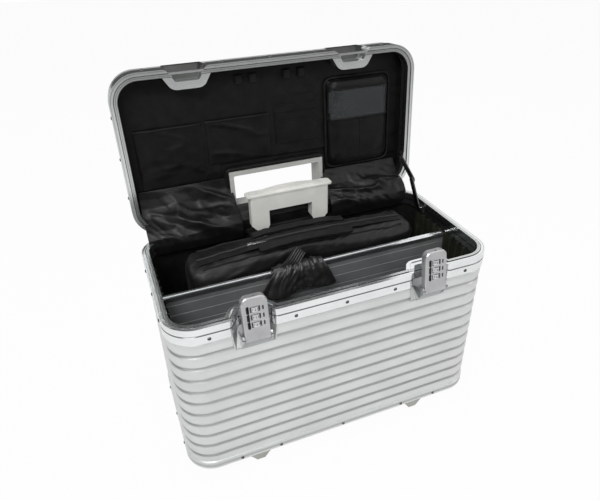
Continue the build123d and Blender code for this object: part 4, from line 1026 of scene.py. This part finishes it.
# %% Floor and world
deselect()
bpy.ops.mesh.primitive_plane_add(size=12, location=(0, 0, -0.0002))
floor = bpy.context.object
floor.name = "floor"
floor_finish = Finish("pale_floor", Roughness=0.9)
floor_finish.dress((0.82, 0.82, 0.82, 1))
tree = floor_finish.tree
rays = tree.nodes.new("ShaderNodeLightPath")
seen = Value(tree, rays.outputs["Is Camera Ray"])
glow = tree.nodes.new("ShaderNodeEmission")
glow.inputs["Color"].default_value = (1, 1, 1, 1)
mixer = tree.nodes.new("ShaderNodeMixShader")
through = Value(tree, rays.outputs["Is Transmission Ray"])
mirrored = Value(tree, rays.outputs["Is Glossy Ray"])
put(tree, mixer.inputs[0], (seen * 0.95).math("MAXIMUM", through * 0.95).math("MAXIMUM", mirrored * 0.38))
tree.links.new(floor_finish.shader.outputs[0], mixer.inputs[1])
tree.links.new(glow.outputs[0], mixer.inputs[2])
far = floor_finish.node("SeparateXYZ", inputs={0: floor_finish.place()}, output="Y") * -1
far = floor_finish.ramp(far, 0.62, 0.95)
dark = tree.nodes.new("ShaderNodeEmission")
dark.inputs["Strength"].default_value = 0.06
darker = tree.nodes.new("ShaderNodeMixShader")
put(tree, darker.inputs[0], far * mirrored * 0.15)
tree.links.new(mixer.outputs[0], darker.inputs[1])
tree.links.new(dark.outputs[0], darker.inputs[2])
tree.links.new(darker.outputs[0], tree.nodes["Material Output"].inputs["Surface"])
floor.data.materials.append(floor_finish.material)

world = bpy.data.worlds.new("surround")
world.use_nodes = True
bpy.context.scene.world = world
tree = world.node_tree
background = tree.nodes["Background"]
background.inputs["Color"].default_value = (1, 1, 1, 1)
rays = tree.nodes.new("ShaderNodeLightPath")
direct = Value(tree, rays.outputs["Is Camera Ray"]).math("MAXIMUM",
                                                         Value(tree, rays.outputs["Is Transmission Ray"]))
heading = tree.nodes.new("ShaderNodeTexCoord")
parts = tree.nodes.new("ShaderNodeSeparateXYZ")
tree.links.new(heading.outputs["Generated"], parts.inputs[0])
band = tree.nodes.new("ShaderNodeMapRange")
put(tree, band.inputs[0], Value(tree, parts.outputs["Z"]))
for index, value in ((1, 0.30), (2, 0.44), (3, -0.55), (4, 0.65)):
    band.inputs[index].default_value = value
mirrored = Value(tree, rays.outputs["Is Glossy Ray"]) * Value(tree, band.outputs[0]) * (1 - direct)
put(tree, background.inputs["Strength"], (direct * 0.65 + mirrored + 0.35).math("MAXIMUM", 0.05))
print("floor and surround ready")

# %% Lamps
def lamp(name, spot, size, power, target=(0, 0, 0.2)):
    data = bpy.data.lights.new(name, "AREA")
    data.shape = "RECTANGLE"
    data.size, data.size_y = size
    data.energy = power
    light = bpy.data.objects.new(name, data)
    bpy.context.scene.collection.objects.link(light)
    light.location = spot
    light.rotation_euler = (Vector(target) - Vector(spot)).to_track_quat("-Z", "Y").to_euler()
    return light


lamp("key_lamp", (-1.1, -1.6, 2.2), (1.5, 1.1), 42)
lamp("fill_lamp", (1.9, -1.2, 1.1), (1.1, 1.1), 7)
lamp("top_lamp", (0.2, 0.4, 2.6), (1.6, 1.2), 14)
bpy.context.scene.view_settings.view_transform = "Standard"
print("three lamps")
